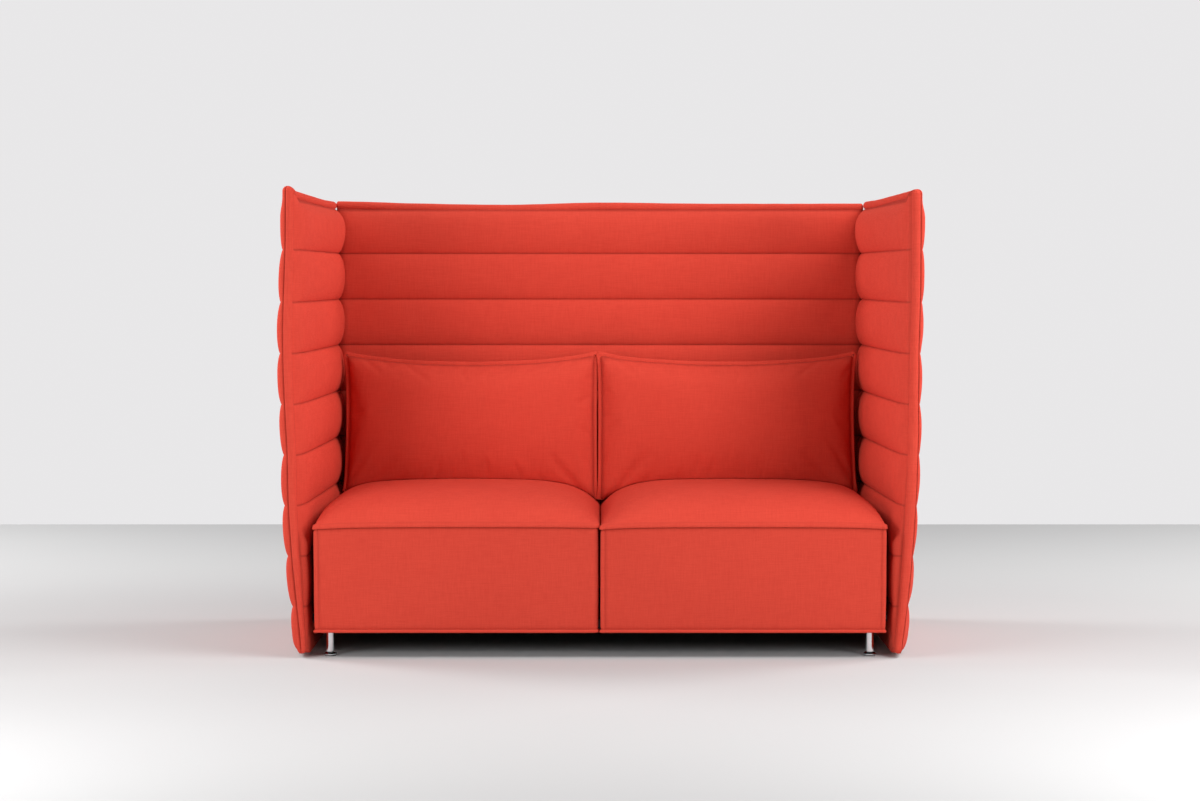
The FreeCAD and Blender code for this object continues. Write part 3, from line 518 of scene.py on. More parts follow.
class Panel:
    """One upright panel: u runs along it, w across it and outward, z up."""

    def __init__(self, name):
        self.name = name
        self.seed = {"left": 3.1, "right": 17.7, "back": 41.3}[name]
        if name == "back":
            self.first, self.last = -BACK_END, BACK_END
        else:
            self.first, self.last = ROLL_CENTRE, SIDE_END
        self.seams = [PANEL_BASE + PITCH * index for index in range(CHANNELS + 1)]
        self.seams[0] = PANEL_BASE - 1.5 * MM
        self.seams[-1] = PANEL_TOP - 4 * MM
        self.valleys = [HEM_HALF] + [SEAM_DEPTH] * (CHANNELS - 1) + [TOP_HALF]

    def share(self, z):
        return (z - self.seams[0]) / (self.seams[-1] - self.seams[0])

    def between(self, pair, z):
        low, high = pair[self.name]
        return low + (high - low) * clamp(self.share(z))

    def ahead(self, u):
        """0 at the rear end of a side and 1 at its front roll."""
        return min(1.0, (self.last - u) / (self.last - self.first))

    def middle(self, u, z):
        if self.name == "back":
            return BACK_MIDDLE
        front = along_curve(FRONT_CENTRE[self.name], self.share(z))
        rear = SIDE_MIDDLE - REAR_TOP_LEAN * smooth_step((self.share(z) - 0.6) / 0.4)
        return rear + (front - rear) * self.ahead(u)

    def point(self, u, w, z):
        if self.name == "back":
            return Vector((u, BACK_MIDDLE + w, z))
        across = self.middle(u, z) + w
        return Vector((-across if self.name == "left" else across, u, z))

    def roll_half(self, z):
        wave = 0.5 * MM * unevenness(z, 0.0, self.seed, 14)
        return along_curve(FRONT_HALF[self.name], self.share(z)) + wave

    def shoulder(self, z, swell):
        """How far the outer padding stands beyond the front roll's seam."""
        seam = self.between(SHOULDER_SEAM, z)
        full = seam + (self.between(SHOULDER_CREST, z) - seam) * swell
        near_top = smooth_step((self.share(z) - 0.955) / 0.035)
        return full + (SHOULDER_TOP[self.name] - full) * near_top

    def roll_height(self, z):
        """Height on the front roll that goes with a height on the faces."""
        share = self.share(z)
        over = max(0.0, share - (1 - END_SHARE))
        foot = (TIP + ROLL - self.seams[0]) * (1 - min(1.0, share / END_SHARE))
        head = (PEAK[self.name] - ROLL - self.seams[-1]) * over / END_SHARE
        return z + foot + head

    def front_share(self, u):
        """1 at the front roll, falling to 0 a little behind it."""
        if self.name == "back":
            return 0.0
        return 1 - smooth_step((u - FRONT - BLEND_START) / BLEND_LENGTH)

    def face_height(self, u, z):
        if self.name == "back":
            return z
        inside = smooth_step(self.share(z) / 0.08) * smooth_step((1 - self.share(z)) / 0.3)
        sagged = z - SEAM_SAG * (1 - (1 - self.ahead(u)) ** 1.5) * inside
        near = self.front_share(u)
        return sagged + (self.roll_height(z) - SEAM_SAG * inside - sagged) * near

    def swell(self, part):
        return max(0.0, 1 - abs(2 * part - 1) ** SWELL_POWER) ** SWELL_ROUND

    def pad(self, u, channel, part, side, z):
        """Middle plane to the padding's surface; part runs from 0 to 1 up the channel."""
        swell = self.swell(part)
        low, high = self.valleys[channel], self.valleys[channel + 1]
        valley = low + (high - low) * part
        crest = CREST
        if self.name != "back" and side < 0:
            crest += REAR_SWELL * smooth_step((u - self.first) / 0.6)
        if channel == 0 and part < 0.5:
            swell = (1 - (1 - 2 * part) ** 3.5) ** 0.5
        full = valley + (crest - valley) * swell
        rear_end = min(full, END_HALF + 2 * MM * swell)
        rough = self.roughness(u, channel, part, side, swell) * (part > 0)
        if self.name == "back":
            taper = ease_out(min(u - self.first, self.last - u) / PAD_END, END_POWER)
            size = rear_end + (full - rear_end) * taper
            return size + rough * taper
        rear = ease_out((self.last - u) / PAD_END, END_POWER)
        size = rear_end + (full - rear_end) * rear
        half = self.roll_half(z)
        if side > 0:
            start = half + self.shoulder(z, swell)
            gap = (u - FRONT - SEAM_BEHIND - SHOULDER_REACH) / PAD_FRONT
        else:
            start = half - self.between(GROOVE, z) + 0.8 * MM
            gap = (u - FRONT - INNER_START) / PAD_FRONT
        ahead = ease_out(gap, FRONT_POWER)
        size = start + (size - start) * ahead
        if side < 0 and z < SLACK_TOP:
            rearward = smooth_step((u - FRONT - 0.1) / 0.12)
            target = SLACK_FRONT + (SLACK_REAR - SLACK_FRONT) * rearward + 4 * MM * (1 - swell)
            slack = max(BOARD_HALF + 3.5 * MM, self.middle(u, z) - target)
            slack = start + (slack - start) * ease_out(gap * SLACK_HASTE, FRONT_POWER)
            size += (slack - size) * (1 - smooth_step((z - SLACK_TOP + SLACK_FADE) / SLACK_FADE))
        size += rough * ahead * rear
        lean = side * (board_middle(u, z) - self.middle(u, z))
        inside_end = 1 - smooth_step((u - BOARD_REAR) / (1 * MM))
        return max(size, (lean + BOARD_HALF + 1.6 * MM) * inside_end)

    def roughness(self, u, channel, part, side, swell):
        gap = min(part, 1 - part) * PITCH
        seam_index = channel + (part > 0.5)
        pucker = math.exp(-gap / PUCKER_FADE) * unevenness(u, seam_index * 0.37, self.seed, 48)
        gentle = unevenness(u, (channel + part) * PITCH, self.seed + 5 * side, 7)
        return PUCKER * pucker + GENTLE * gentle * swell


def stations(first, last, step=STEP):
    count = round((last - first) / step)
    return [first + (last - first) * index / count for index in range(count + 1)]


def panel_columns(panel):
    """The places round a level ring: inner face, front roll, shoulder, outer face, rear end."""
    ends = [("end", panel.last, share) for share in (0.8, 0.4, 0.0, -0.4, -0.8)]
    if panel.name == "back":
        along = stations(panel.first, panel.last)
        columns = [("face", u, -1) for u in reversed(along)]
        columns += [("end", panel.first, share) for share in (-0.8, -0.4, 0.0, 0.4, 0.8)]
        columns += [("face", u, 1) for u in along]
        return columns + ends
    columns = [("face", u, -1) for u in reversed(stations(FRONT + INNER_FACE, panel.last))]
    columns.append(("groove", FRONT + GROOVE_PLACE, -1))
    columns += [("roll", -ROLL_BACK + (ROLL_SEAM + ROLL_BACK) * step / ROLL_STEPS, 0)
                for step in range(ROLL_STEPS + 1)]
    columns.append(("crease", FRONT + SEAM_BEHIND + CREASE, 1))
    columns += [("shoulder", math.pi / 2 * step / SHOULDER_STEPS, 0)
                for step in range(SHOULDER_STEPS + 1)]
    behind = FRONT + SEAM_BEHIND + SHOULDER_REACH + 4 * MM
    columns += [("face", u, 1) for u in stations(behind, panel.last)]
    return columns + ends


def column_place(panel, column, channel, part, z):
    """u and w of one column at one height."""
    kind, where, extra = column
    if kind == "roll":
        half = panel.roll_half(z)
        across = -half * math.cos(where)
        if where > math.pi / 2:
            across /= -math.cos(ROLL_SEAM)
        return FRONT + ROLL * (1 - math.sin(where)), across
    if kind == "groove":
        return where, -(panel.roll_half(z) - panel.between(GROOVE, z))
    if kind == "crease":
        return where, panel.roll_half(z) + 0.5 * MM
    if kind == "shoulder":
        proud = max(1.5 * MM, panel.shoulder(z, panel.swell(part)) - 1.4 * MM)
        u = FRONT + SEAM_BEHIND + SHOULDER_REACH * (1 - math.cos(where))
        return u, panel.roll_half(z) + 1.4 * MM + proud * math.sin(where)
    if kind == "end":
        return where, extra * panel.pad(where, channel, part, 1, z)
    return where, extra * panel.pad(where, channel, part, extra, z)


def painted_seam_shade(column, channel, part, share):
    """How much painted shade a place on a cover gets: 1 in the depth of a seam."""
    kind, where, extra = column
    if channel + part == 0:
        return 0.0
    # Painted shade in the crease and groove beside the front roll, under the top roll and along
    # the channel seams.
    if kind == "crease":
        return 1.0
    if kind == "groove":
        return 0.3 + 0.35 * smooth_step((0.75 - share) / 0.2)
    if kind == "roll":
        return 0.8 * smooth_step((where - ROLL_SEAM + 0.17) / 0.16)
    if kind == "shoulder":
        return 0.5 * (1 - smooth_step(where / 0.28))
    if kind != "face":
        return 0.0
    if channel == CHANNELS - 1 and part > 0.5:
        return smooth_step((part * PITCH - PITCH + 5.5 * MM) / (2 * MM))
    return math.exp(-(min(part, 1 - part) * PITCH / (2.4 * MM)) ** 2)


def panel_cover(panel):
    """The whole padded cover of a panel as one closed skin."""
    columns = panel_columns(panel)
    points, seam_shade = [], []
    steps = [0.5 * (1 - math.cos(math.pi * index / ROWS)) for index in range(ROWS)]
    levels = [(channel, part) for channel in range(CHANNELS) for part in steps]
    levels.append((CHANNELS - 1, 1.0))

    def ring(channel, part, turn=0.0, way=0):
        """One level ring; turn and way shrink and shift it into the cap at an end."""
        low, high = panel.seams[channel], panel.seams[channel + 1]
        z = low + (high - low) * part
        centre = panel.shoulder(z, 0) / 2 if panel.name != "back" else 0.0
        for column in columns:
            u, w = column_place(panel, column, channel, part, z)
            if column[0] in ("face", "end"):
                near = panel.front_share(u)
                height = panel.face_height(u, z)
            else:
                near = 1.0
                height = panel.face_height(FRONT, z)
            if turn:
                flat = 1 - 0.6 * (1 - near)
                shrink, lift = math.cos(turn) ** flat, math.sin(turn) ** flat
                w = centre * near + (w - centre * near) * shrink
                if near and u < CAP_HUB:
                    u = CAP_HUB + (u - CAP_HUB) * shrink
                plain = CAP_RISE if way > 0 else 2 * MM
                height += way * lift * (plain + (ROLL - plain) * near)
            points.append(panel.point(u, w, height))
            seam_shade.append(painted_seam_shade(column, channel, part, panel.share(z)))

    for step in range(CAP_STEPS, 0, -1):
        ring(0, 0.0, math.pi / 2 * step / CAP_STEPS, -1)
    for channel, part in levels:
        ring(channel, part)
    for step in range(1, CAP_STEPS + 1):
        ring(CHANNELS - 1, 1.0, math.pi / 2 * step / CAP_STEPS, 1)
    rows = 2 * CAP_STEPS + len(levels)
    name = f"{panel.name}_panel_cover"
    cover = make_piece(name, points, ring_faces(rows, len(columns)), "upholstery", "settee", seam_shade)
    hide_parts(f"{panel.name}_panel_inner_quilting", f"{panel.name}_panel_outer_quilting")


# Height of the top rolls' upper edge, from one end to the other
SIDE_ROLL_TOP = (1.2285, 1.2268, 1.2252, 1.2240, 1.2262)
BACK_ROLL_TOP = (1.2274, 1.2205, 1.2172, 1.2235, 1.2205, 1.2200, 1.2205)
ROLL_END_STEPS = 6
ROLL_ROUND = 0.55                # length of a roll's rounded end, in radii
ROLL_SIDES = 20
# How much a roll's front end is raised, and over which length
ROLL_LIFT = {"left": 7 * MM, "right": 0.0, "back": 0.0}
LIFT_REACH = 55 * MM


def roll_stations(start, end):
    """Pairs of a place along a roll and its size there, which falls to nothing at its ends."""
    long = ROLL * ROLL_ROUND
    first, last = start + long, end - long
    angles = [math.pi / 2 * step / ROLL_END_STEPS for step in range(ROLL_END_STEPS)]
    pairs = [(first - long * math.cos(angle), math.sin(angle)) for angle in angles]
    pairs += [(u, 1.0) for u in stations(first, last, 6 * MM)]
    pairs += [(last + long * math.cos(angle), math.sin(angle)) for angle in reversed(angles)]
    return pairs


def top_roll(panel):
    """The soft roll along the top of a panel, with rounded ends."""
    if panel.name == "back":
        start, end = panel.first - 3 * MM, panel.last + 1.5 * MM
        tops = BACK_ROLL_TOP
    else:
        start, end = panel.first + 2 * MM, panel.last + 15 * MM
        tops = SIDE_ROLL_TOP
    path, radii = [], []
    for u, size in roll_stations(start, end):
        wobble = 1 + 0.035 * unevenness(u, 0.0, panel.seed, 22)
        z = along_curve(tops, (u - start) / (end - start)) - ROLL
        z += ROLL_LIFT[panel.name] * (1 - smooth_step((u - start) / LIFT_REACH))
        path.append(panel.point(u, 0.6 * MM * unevenness(u, 1.0, panel.seed, 12), z))
        radii.append(ROLL * size * wobble)
    points, faces = tube(path, radii, ROLL_SIDES)
    # Painted shade on the lower part of the roll, where it hangs over the face below.
    seam_shade = []
    for index, point in enumerate(points):
        below = path[index // ROLL_SIDES].z - point.z
        seam_shade.append(smooth_step((below / ROLL - 0.55) / 0.3))
    name = f"{panel.name}_panel_top_roll"
    roll = make_piece(name, points, faces, "upholstery", "settee", seam_shade)
    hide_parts(f"{panel.name}_panel_edge_roll")


for panel_name in ("left", "right", "back"):
    made_panel = Panel(panel_name)
    panel_cover(made_panel)
    top_roll(made_panel)


# Seats
CROWN_EDGE = 357 * MM
SEAM_HEIGHT = 344.5 * MM
SEAT_STEP = 10 * MM
FRONT_SWELL = 5 * MM
SKIRT = 10.2 * MM
FOOT_DRAW = 2 * MM               # how much narrower a seat is at its foot
WALL_ROWS = 18
CROWN_ROWS = 34
CENTRE_GAP = 4.2 * MM            # a seat's inner wall to the centre, before its welt
SEAM_DROPS = {"left": (6 * MM, 2.5 * MM), "right": (6.5 * MM, 5 * MM)}
DROP_REACH = 75 * MM
DROP_START = 0.06                # height above a seat's foot at which the drop begins
# How fast the crown rises from each edge, the front and the rear alike: a length and a power
RISE_INNER = (0.066, 1.05)
RISE_OUTER = (0.040, 0.70)
RISE_DEPTH = (0.048, 0.95)


def seat_box(side):
    """Plan corners of a seat, its inner wall a little off the centre."""
    low, high = box(f"{side}_seat_cushion")
    if side == "left":
        high = Vector((-CENTRE_GAP, high.y, high.z))
    else:
        low = Vector((CENTRE_GAP, low.y, low.z))
    return low, high


def rise(distance, shape):
    length, power = shape
    return 1 - math.exp(-(max(0.0, distance) / length) ** power)


def seat_top(side, x, y):
    """Height of a seat's crown at a place in plan."""
    low, high = seat_box(side)
    inner, outer = (high.x - x, x - low.x) if side == "left" else (x - low.x, high.x - x)
    share = rise(inner, RISE_INNER) * rise(outer, RISE_OUTER)
    share *= rise(y - low.y, RISE_DEPTH) * rise(high.y - y, RISE_DEPTH)
    swell = 1.3 * MM * unevenness(x, y, 60, 6) * smooth_step(min(inner, outer) / 0.1)
    return CROWN_EDGE + (high.z - CROWN_EDGE) * min(1.0, share * 1.03) + swell


def seam_drop(side, x):
    """How far the upper seam and its lip hang down near a seat's two ends."""
    low, high = seat_box(side)
    left_end, right_end = SEAM_DROPS[side]
    return (left_end * math.exp(-max(0.0, x - low.x) / DROP_REACH)
            + right_end * math.exp(-max(0.0, high.x - x) / DROP_REACH))


def corner_profile(tucked):
    """An upright corner: along the first face, round its stitched welt, onto the second.

    Triples of (distance before the corner, distance behind the face) in millimetres and
    how much painted shade the place gets. A tucked corner rolls back without a welt.
    """
    if tucked:
        return [(30, 0, 0), (24, 0, 0), (19, 0.3, 0), (15, 0.9, 0), (11.5, 1.5, 0.1),
                (8, 2.6, 0.25), (5, 4.4, 0.4), (2.4, 7, 0.5), (0.8, 10, 0.5), (0.2, 14, 0.3),
                (0, 18, 0), (0, 26, 0)]
    return [(30, 0, 0), (24, 0, 0), (17, -0.1, 0), (11.5, 0.6, 0.2), (9.3, 2.0, 0.5),
            (7.5, 0.7, 0.15), (5.2, -0.5, 0), (2.6, -0.7, 0), (0, -0.4, 0), (-2.3, 0.5, 0),
            (-3.0, 2.2, 0), (-2.3, 3.8, 0), (-0.4, 4.6, 0), (1.9, 5.6, 0.5), (1.2, 8.0, 0.3),
            (0.3, 12, 0), (0, 18, 0), (0, 26, 0)]


def seat_loop(low, high, tucked_corner):
    """The loop round a seat, anticlockwise seen from above: place, outward way, painted shade
    share.
    """
    rows = []
    corners = (Vector((low.x, low.y)), Vector((high.x, low.y)),
               Vector((high.x, high.y)), Vector((low.x, high.y)))
    # The way along each side is the outward way of the side after it
    ways = (Vector((1, 0)), Vector((0, 1)), Vector((-1, 0)), Vector((0, -1)))
    clear_front, clear_side = 30 * MM, 26 * MM
    for index in range(4):
        way, out = ways[index], ways[index - 1]
        corner = corners[(index + 1) % 4]
        before, after = (clear_front, clear_side) if index % 2 else (clear_side, clear_front)
        start, end = corners[index] + way * before, corner - way * after
        count = round((end - start).length / SEAT_STEP)
        rows += [(start.lerp(end, step / count), out, 0.0) for step in range(1, count)]
        profile = corner_profile(index == tucked_corner)
        if index % 2:
            profile = [(b, a, tone) for a, b, tone in reversed(profile)]
        for a, b, tone in profile:
            turning = a < 2 and b < 6
            normal = (out + way).normalized() if turning else (out if a >= b else way)
            rows.append((corner - way * a * MM - out * b * MM, normal, tone))
    return rows


def wall_rings(base):
    """Rings from the hollow underneath, round the lower flange, up the wall and over the lip.

    Each is how far it is drawn in, its height, and how much painted shade it gets under its lips.
    """
    low = base + 8.5 * MM
    rings = [(SKIRT + 60 * MM, 104 * MM, 0), (SKIRT, 104 * MM, 0), (SKIRT, 90 * MM, 0),
             (SKIRT, base + 3 * MM, 0), (SKIRT - 1 * MM, base + 1 * MM, 0),
             (4 * MM, base + 0.4 * MM, 0), (0, base, 0), (-2.6 * MM, base + 1.2 * MM, 0),
             (-3.2 * MM, base + 4 * MM, 0), (-2.4 * MM, low - 1.5 * MM, 0.1),
             (0.4 * MM, low, 0.6), (2.2 * MM, low + 1.0 * MM, 0.9),
             (1.4 * MM, low + 2.6 * MM, 0.3), (0.4 * MM, low + 6 * MM, 0),
             (0, low + 13 * MM, 0)]
    foot, head = low + 13 * MM, SEAM_HEIGHT - 16 * MM
    rings += [(0, foot + (head - foot) * index / WALL_ROWS, 0) for index in range(1, WALL_ROWS)]
    top = SEAM_HEIGHT
    rings += [(0, top - 14 * MM, 0), (0.3 * MM, top - 8 * MM, 0), (1.0 * MM, top - 4 * MM, 0.1),
              (2.6 * MM, top - 1.6 * MM, 0.9), (3.0 * MM, top - 0.4 * MM, 1),
              (-1.2 * MM, top - 0.4 * MM, 0.7), (-2.9 * MM, top + 0.8 * MM, 0),
              (-3.1 * MM, top + 3 * MM, 0), (-2.5 * MM, top + 7 * MM, 0),
              (-1.4 * MM, top + 10 * MM, 0.05), (-0.2 * MM, top + 11.6 * MM, 0.22),
              (0.9 * MM, CROWN_EDGE + 0.3 * MM, 0.22)]
    return rings


def seat(side):
    """One seat block as a closed skin, open like a box underneath."""
    low, high = seat_box(side)
    base = low.z
    loop = seat_loop(low, high, 0 if side == "left" else -1)
    middle = Vector(((low.x + high.x) / 2, (low.y + high.y) / 2))
    half = Vector(((high.x - low.x) / 2, (high.y - low.y) / 2))
    sign = -1 if side == "left" else 1
    points, seam_shade = [], []
    for inset, z, seam in wall_rings(base):
        share = clamp((z - base) / (SEAM_HEIGHT - base))
        bow = math.sin(math.pi * share)
        hanging = smooth_step((z - base - DROP_START) / (SEAM_HEIGHT - base - DROP_START))
        marked = smooth_step((z - base) / (25 * MM)) * (z < SEAM_HEIGHT)
        for spot, normal, tone in loop:
            x, y = spot.x - normal.x * inset, spot.y - normal.y * inset
            level = 1 - ((x - middle.x) / half.x) ** 2
            deep = 1 - ((y - middle.y) / half.y) ** 2
            bulge = FRONT_SWELL * bow * (level if abs(normal.y) > 0.5 else deep * 0.3)
            bulge += 0.9 * MM * unevenness(x + y, z, 80 + sign, 9) * bow
            bulge *= smooth_step((z - base) / (20 * MM))
            if inset < SKIRT / 2:
                if y < middle.y or abs(normal.x) > 0.5:
                    x += normal.x * bulge
                    y += normal.y * bulge
                if (x - middle.x) * sign > half.x * 0.9:
                    x -= sign * FOOT_DRAW * (1 - share) ** 1.6
            points.append(Vector((x, y, z - seam_drop(side, x) * hanging)))
            # Painted shade in the grooves under the lips and beside the upright welts.
            seam_shade.append(max(seam, tone * marked))
    for step in range(1, CROWN_ROWS + 1):
        inset = 2 * MM + (half.y - 24 * MM) * (step / CROWN_ROWS) ** 2
        for spot, normal, tone in loop:
            x = middle.x + (spot.x - middle.x) * (1 - inset / half.x)
            y = middle.y + (spot.y - middle.y) * (1 - inset / half.y)
            z = seat_top(side, x, y)
            hang = seam_drop(side, x) * max(0.0, 1 - (z - CROWN_EDGE) / (30 * MM))
            points.append(Vector((x, y, z - hang)))
            seam_shade.append(0.0)
    count = len(loop)
    faces = ring_faces(len(points) // count, count)
    faces.append(tuple(reversed(range(count))))
    faces.append(tuple(range(len(points) - count, len(points))))
    piece = make_piece(f"{side}_seat_cover", points, faces, "upholstery", "settee", seam_shade)
    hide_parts(f"{side}_seat_cushion")


# Back cushions
CUSHION_LEAN = math.radians(7)
CUSHION_TALL = 352 * MM
EDGE_HALF = 5 * MM               # half thickness of a cushion at its seam
CORE_HALF = 52 * MM              # half thickness before it is blown up
CUSHION_SWELL = 24 * MM          # the most that blowing it up may move a point
VOXEL = 6 * MM
PILLOW_COLUMNS = 40
PILLOW_ROWS = 26
TOP_SAG = 24 * MM
SIDE_DRAW = 6 * MM
INNER_DRAW = 1.5 * MM
EAR = 5 * MM
WELT_WIDTH = 10 * MM
WELT_INSET = WELT_WIDTH * 0.7    # a cushion's seam to its outer edge
WELT_STEPS = 90                  # along each edge
WELT_HALF = 2.3 * MM
SINK = 46 * MM                   # how far a cushion settles round the crown of its seat
SINK_REACH = 160 * MM
CENTRE_SINK = 26 * MM            # and how much more between the two seats
# Inner and outer end of each cushion, and how far it stands ahead of its CAD place
CUSHION_ENDS = {"left": (-0.0105, -0.7355, 0.0), "right": (-0.0036, 0.7355, 4 * MM)}
# Nearest to the centre and furthest back where a cushion feels for the seat under it
REST_INNER = abs(CUSHION_ENDS["left"][0]) + 1 * MM
REST_REAR = 0.3405
CLOTH_FRAMES = 20


class Pillow:
    """Outline of one back cushion, in its own plane: across from -1 to 1, up from -1 to 1."""

    def __init__(self, side):
        self.side = side
        inner, outer, self.ahead = CUSHION_ENDS[side]
        self.middle = (inner + outer) / 2
        self.half = abs(outer - inner) / 2 - WELT_INSET
        self.inner_way = 1 if side == "left" else -1
        self.seed = 7.7 * self.inner_way

    def outline(self, across, up):
        draw = INNER_DRAW if across * self.inner_way > 0 else SIDE_DRAW
        ear = EAR * abs(across) ** 12 * abs(up) ** 12
        x = (self.half - draw * (1 - up**2) * abs(across) ** 2 + ear) * across
        z = CUSHION_TALL / 2 - WELT_INSET
        if up > 0:
            z -= TOP_SAG * (1 - abs(across) ** 2.2)
            z += 1.5 * MM * unevenness(x, 0.0, self.seed, 9)
        else:
            z -= SIDE_DRAW * (1 - across**2)
        return x, (z + ear * abs(up)) * up


def pillow_grid(pillow, count_across, count_up):
    """Points and faces of a closed pillow, thin at its seam and full in the middle."""
    points, faces = [], []
    for face in (-1, 1):
        for row in range(count_up + 1):
            up = -math.cos(math.pi * row / count_up)
            for column in range(count_across + 1):
                across = -math.cos(math.pi * column / count_across)
                x, z = pillow.outline(across, up)
                full = ((1 - abs(across) ** 3.2) * (1 - abs(up) ** 3.6)) ** 0.5
                depth = EDGE_HALF + (CORE_HALF - EDGE_HALF) * full
                points.append(Vector((x, face * depth, z)))
    width = count_across + 1
    layer = width * (count_up + 1)

    def quad(*corners):
        faces.append(tuple(face * layer + row * width + column for face, row, column in corners))

    for row in range(count_up):
        for column in range(count_across):
            for face in (0, 1):
                quad((face, row, column), (face, row, column + 1),
                     (face, row + 1, column + 1), (face, row + 1, column))
    for column in range(count_across):
        for row in (0, count_up):
            quad((0, row, column), (0, row, column + 1), (1, row, column + 1), (1, row, column))
    for row in range(count_up):
        for column in (0, count_across):
            quad((0, row, column), (0, row + 1, column), (1, row + 1, column), (1, row, column))
    return points, faces


def apply_modifier(piece, name):
    bpy.context.view_layer.objects.active = piece
    bpy.ops.object.modifier_apply(modifier=name)


def blow_up(piece):
    """Remeshes a pillow and inflates it as cloth that is held along its seam."""
    remesh = piece.modifiers.new("remesh", "REMESH")
    remesh.mode = "VOXEL"
    remesh.voxel_size = VOXEL
    apply_modifier(piece, "remesh")
    rest = np.array([vertex.co for vertex in piece.data.vertices])
    held = piece.vertex_groups.new(name="held")
    seam = [vertex.index for vertex in piece.data.vertices
            if abs(vertex.co.y) < EDGE_HALF + 1.5 * MM]
    held.add(seam, 1.0, "REPLACE")
    cloth = piece.modifiers.new("cloth", "CLOTH")
    settings = cloth.settings
    settings.quality = 5
    settings.mass = 0.2
    settings.tension_stiffness = 12
    settings.compression_stiffness = 12
    settings.shear_stiffness = 4
    settings.bending_stiffness = 2.0
    settings.use_pressure = True
    settings.uniform_pressure_force = 4.0
    settings.shrink_min = -0.006
    settings.vertex_group_mass = "held"
    settings.effector_weights.gravity = 0.0
    cloth.collision_settings.use_collision = False
    for number in range(1, CLOTH_FRAMES + 1):
        scene.frame_set(number)
    evaluated = piece.evaluated_get(bpy.context.evaluated_depsgraph_get())
    moved = np.array([vertex.co for vertex in evaluated.data.vertices])
    piece.modifiers.remove(cloth)
    scene.frame_set(1)
    shift = moved - rest
    length = np.linalg.norm(shift, axis=1, keepdims=True)
    shift *= CUSHION_SWELL * np.tanh(length / CUSHION_SWELL) / np.maximum(length, 1e-9)
    piece.data.vertices.foreach_set("co", (rest + shift).astype(np.float32).ravel())
    piece.data.update()
    piece.vertex_groups.clear()
    divide = piece.modifiers.new("divide", "SUBSURF")
    divide.levels = 1
    apply_modifier(piece, "divide")


def welt_band(pillow):
    """The stitched flange round a cushion's seam."""
    path = []
    corners = ((-1, -1), (1, -1), (1, 1), (-1, 1), (-1, -1))
    for start, end in zip(corners, corners[1:]):
        for index in range(WELT_STEPS):
            share = 0.5 * (1 - math.cos(math.pi * index / WELT_STEPS))
            path.append([low + (high - low) * share for low, high in zip(start, end)])
    half = [(-5 * MM, 1), (1 * MM, 1), (WELT_WIDTH - 2.5 * MM, 0.9), (WELT_WIDTH - 0.6 * MM, 0.5)]
    section = [(offset, -side) for offset, side in half] + [(WELT_WIDTH, 0)] + half[::-1]
    points = []
    total = len(path)
    for index, (across, up) in enumerate(path):
        x, z = pillow.outline(across, up)
        before = Vector(pillow.outline(*path[index - 1]))
        after = Vector(pillow.outline(*path[(index + 1) % total]))
        tangent = (after - before).normalized()
        out = Vector((tangent.y, 0, -tangent.x))
        sway = 1.8 * MM * noise.noise(Vector((x * 11, z * 11, pillow.seed)))
        for offset, side in section:
            wave = sway * max(0.0, offset / WELT_WIDTH)
            aside = Vector((0, side * WELT_HALF + wave, 0))
            points.append(Vector((x, 0, z)) + out * offset + aside)
    columns = len(section)
    faces = ring_faces(total, columns)
    last = (total - 1) * columns
    for column in range(columns):
        after = (column + 1) % columns
        faces.append((last + column, last + after, after, column))
    return points, faces


def settle(piece, pillow, foot):
    """Lowers a cushion's foot until it lies on the crown of its seat."""
    for vertex in piece.data.vertices:
        x, y, z = vertex.co
        sink = SINK + CENTRE_SINK * (1 - smooth_step((abs(x) - 0.01) / 0.09))
        z -= sink * smooth_step((foot + SINK_REACH - z) / SINK_REACH)
        near = math.copysign(max(abs(x), REST_INNER), pillow.middle)
        vertex.co.z = max(z, seat_top(pillow.side, near, min(y, REST_REAR)) + 1.2 * MM)


def back_cushion(side):
    pillow = Pillow(side)
    node = f"{side}_back_cushion"
    low, high = box(node)
    centre = (low + high) / 2
    place = Matrix.Translation((pillow.middle, centre.y - pillow.ahead, centre.z))
    place = place @ Matrix.Rotation(-CUSHION_LEAN, 4, "X")
    points, faces = pillow_grid(pillow, PILLOW_COLUMNS, PILLOW_ROWS)
    piece = new_piece(f"{side}_back_pillow", points, faces)
    tidy(piece)
    blow_up(piece)
    # Painted shade along the cushion's seam, where its two faces draw in to the welt.
    seam_shade = [0.9 * (1 - smooth_step((abs(vertex.co.y) - EDGE_HALF) / (12 * MM)))
            for vertex in piece.data.vertices]
    paint_seam_shade(piece, seam_shade)
    piece.data.transform(place)
    settle(piece, pillow, low.z)
    piece.data.shade_smooth()
    dress(piece, "upholstery", f"{side}_cushion")
    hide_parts(node)
    points, faces = welt_band(pillow)
    welt = make_piece(f"{side}_back_cushion_welt", [place @ point for point in points], faces,
                      "upholstery", f"{side}_cushion")
    settle(welt, pillow, low.z)


# Corner zips
TOOTH_PITCH = 3.2 * MM


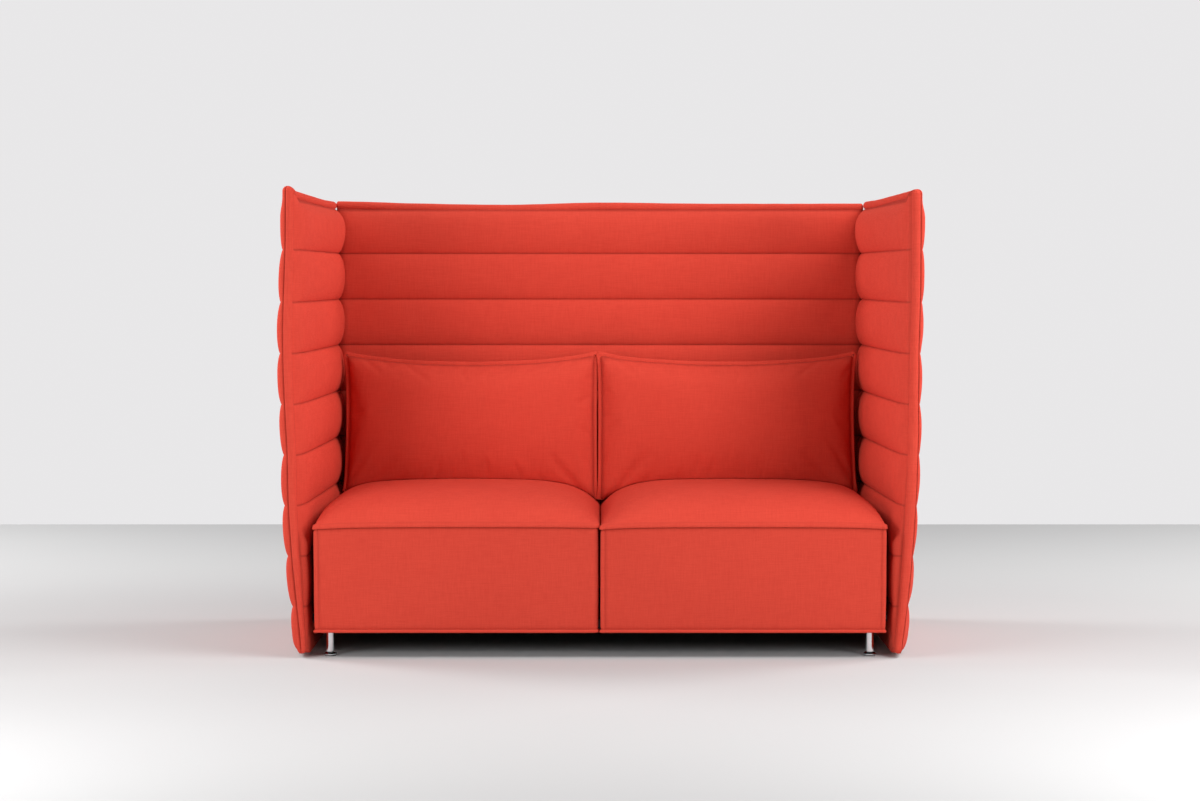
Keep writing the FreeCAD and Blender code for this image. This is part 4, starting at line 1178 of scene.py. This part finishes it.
def zip_teeth(side):
    """Moulded teeth in the space of the two plain strips."""
    low, high = box(f"{side}_zip_teeth")
    sign = -1 if side == "left" else 1
    centre = Vector(((low.x + high.x) / 2, (low.y + high.y) / 2, 0))
    along = Vector((sign, -1, 0)).normalized()
    out = Vector((sign, 1, 0)).normalized()
    count = int((high.z - low.z) / TOOTH_PITCH)
    points, faces = [], []
    for index in range(count):
        for hand in (-1, 1):
            z = low.z + TOOTH_PITCH * (index + (0.75 if hand > 0 else 0.25))
            start = len(points)
            for depth, half in ((-0.4, 0.55), (1.4, 0.72), (2.7, 0.72), (4.0, 0.5)):
                for height, thick in ((-1, -1), (1, -1), (1, 1), (-1, 1)):
                    spot = centre + along * hand * depth * MM + out * thick * 1.5 * MM
                    points.append(spot + Vector((0, 0, z + height * half * MM)))
            faces += ring_faces(4, 4, start)
            faces.append((start + 3, start + 2, start + 1, start))
            last = start + 12
            faces.append((last, last + 1, last + 2, last + 3))
    teeth = make_piece(f"{side}_zip_tooth_rows", points, faces, "zip_teeth", "settee")
    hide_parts(f"{side}_zip_teeth")


for make_part in (seat, back_cushion, zip_teeth):
    for side_name in SIDES:
        make_part(side_name)


# Floor, backdrop and lamps
FLOOR_REACH = 14                 # to either side and to the front
WALL_LINE = 3.31
WALL_GREY = 0.81
FLOOR_GREY = 0.55
WORLD_LIGHT = 0.11
ABOVE = (0, 0, 0.6)              # what the upper lamps are aimed at
BELOW = (0, -0.2, 0.4)           # and the low ones


def make_stage():
    corners = [(-FLOOR_REACH, -FLOOR_REACH, 0), (FLOOR_REACH, -FLOOR_REACH, 0),
               (FLOOR_REACH, WALL_LINE, 0), (-FLOOR_REACH, WALL_LINE, 0)]
    floor = new_piece("floor", corners, [(0, 1, 2, 3)])
    made, tree, shader = new_material("floor")
    cloudy = noise_at(tree, 0.8, detail=3.0)
    dim = (FLOOR_GREY * 0.985, FLOOR_GREY * 0.98, FLOOR_GREY * 0.985)
    shades = mix_colours(vary(cloudy, 0.0, 1.0), (FLOOR_GREY, FLOOR_GREY, FLOOR_GREY), dim)
    link(shades, shader.inputs["Base Color"])
    link(vary(cloudy, 0.88, 0.98), shader.inputs["Roughness"])
    shader.inputs["Specular IOR Level"].default_value = 0.1
    floor.data.materials.append(made)

    world = bpy.data.worlds.new("studio")
    scene.world = world
    world.use_nodes = True
    tree = world.node_tree
    output = tree.nodes["World Output"]
    tree.nodes.remove(tree.nodes["Background"])
    lit = add(tree, "Background", color=(1, 1, 1, 1), strength=WORLD_LIGHT)
    seen = add(tree, "Background", color=(WALL_GREY, WALL_GREY * 0.99, WALL_GREY, 1), strength=1.0)
    path = add(tree, "LightPath").outputs
    rays = math_node("MAXIMUM", path["Is Camera Ray"], path["Is Glossy Ray"])
    rays = math_node("MAXIMUM", rays, path["Is Transmission Ray"])
    mixed = add(tree, "MixShader")
    for socket, source in zip(mixed.inputs, (rays, lit.outputs[0], seen.outputs[0])):
        link(source, socket)
    link(mixed.outputs[0], output.inputs["Surface"])


def lamp(name, place, target, size, power):
    data = bpy.data.lights.new(name, "AREA")
    data.shape = "RECTANGLE"
    data.size = data.size_y = size
    data.energy = power
    made = place_object(name, data)
    made.location = place
    way = Vector(target) - Vector(place)
    made.rotation_euler = way.to_track_quat("-Z", "Y").to_euler()


make_stage()
lamp("left", (-2.4, -1.2, 3.4), ABOVE, 2.0, 42)
lamp("right", (2.4, -1.2, 3.4), ABOVE, 2.0, 94)
lamp("left_low", (-2.0, -2.4, 1.0), BELOW, 0.9, 33)
lamp("right_low", (2.0, -2.4, 1.0), BELOW, 0.9, 32)
lamp("left_floor", (-4.4, 1.4, 3.4), (-3.0, 2.5, 0), 2.0, 210)
lamp("right_floor", (4.4, 1.4, 3.4), (3.0, 2.5, 0), 2.0, 165)
scene.view_settings.view_transform = "Standard"
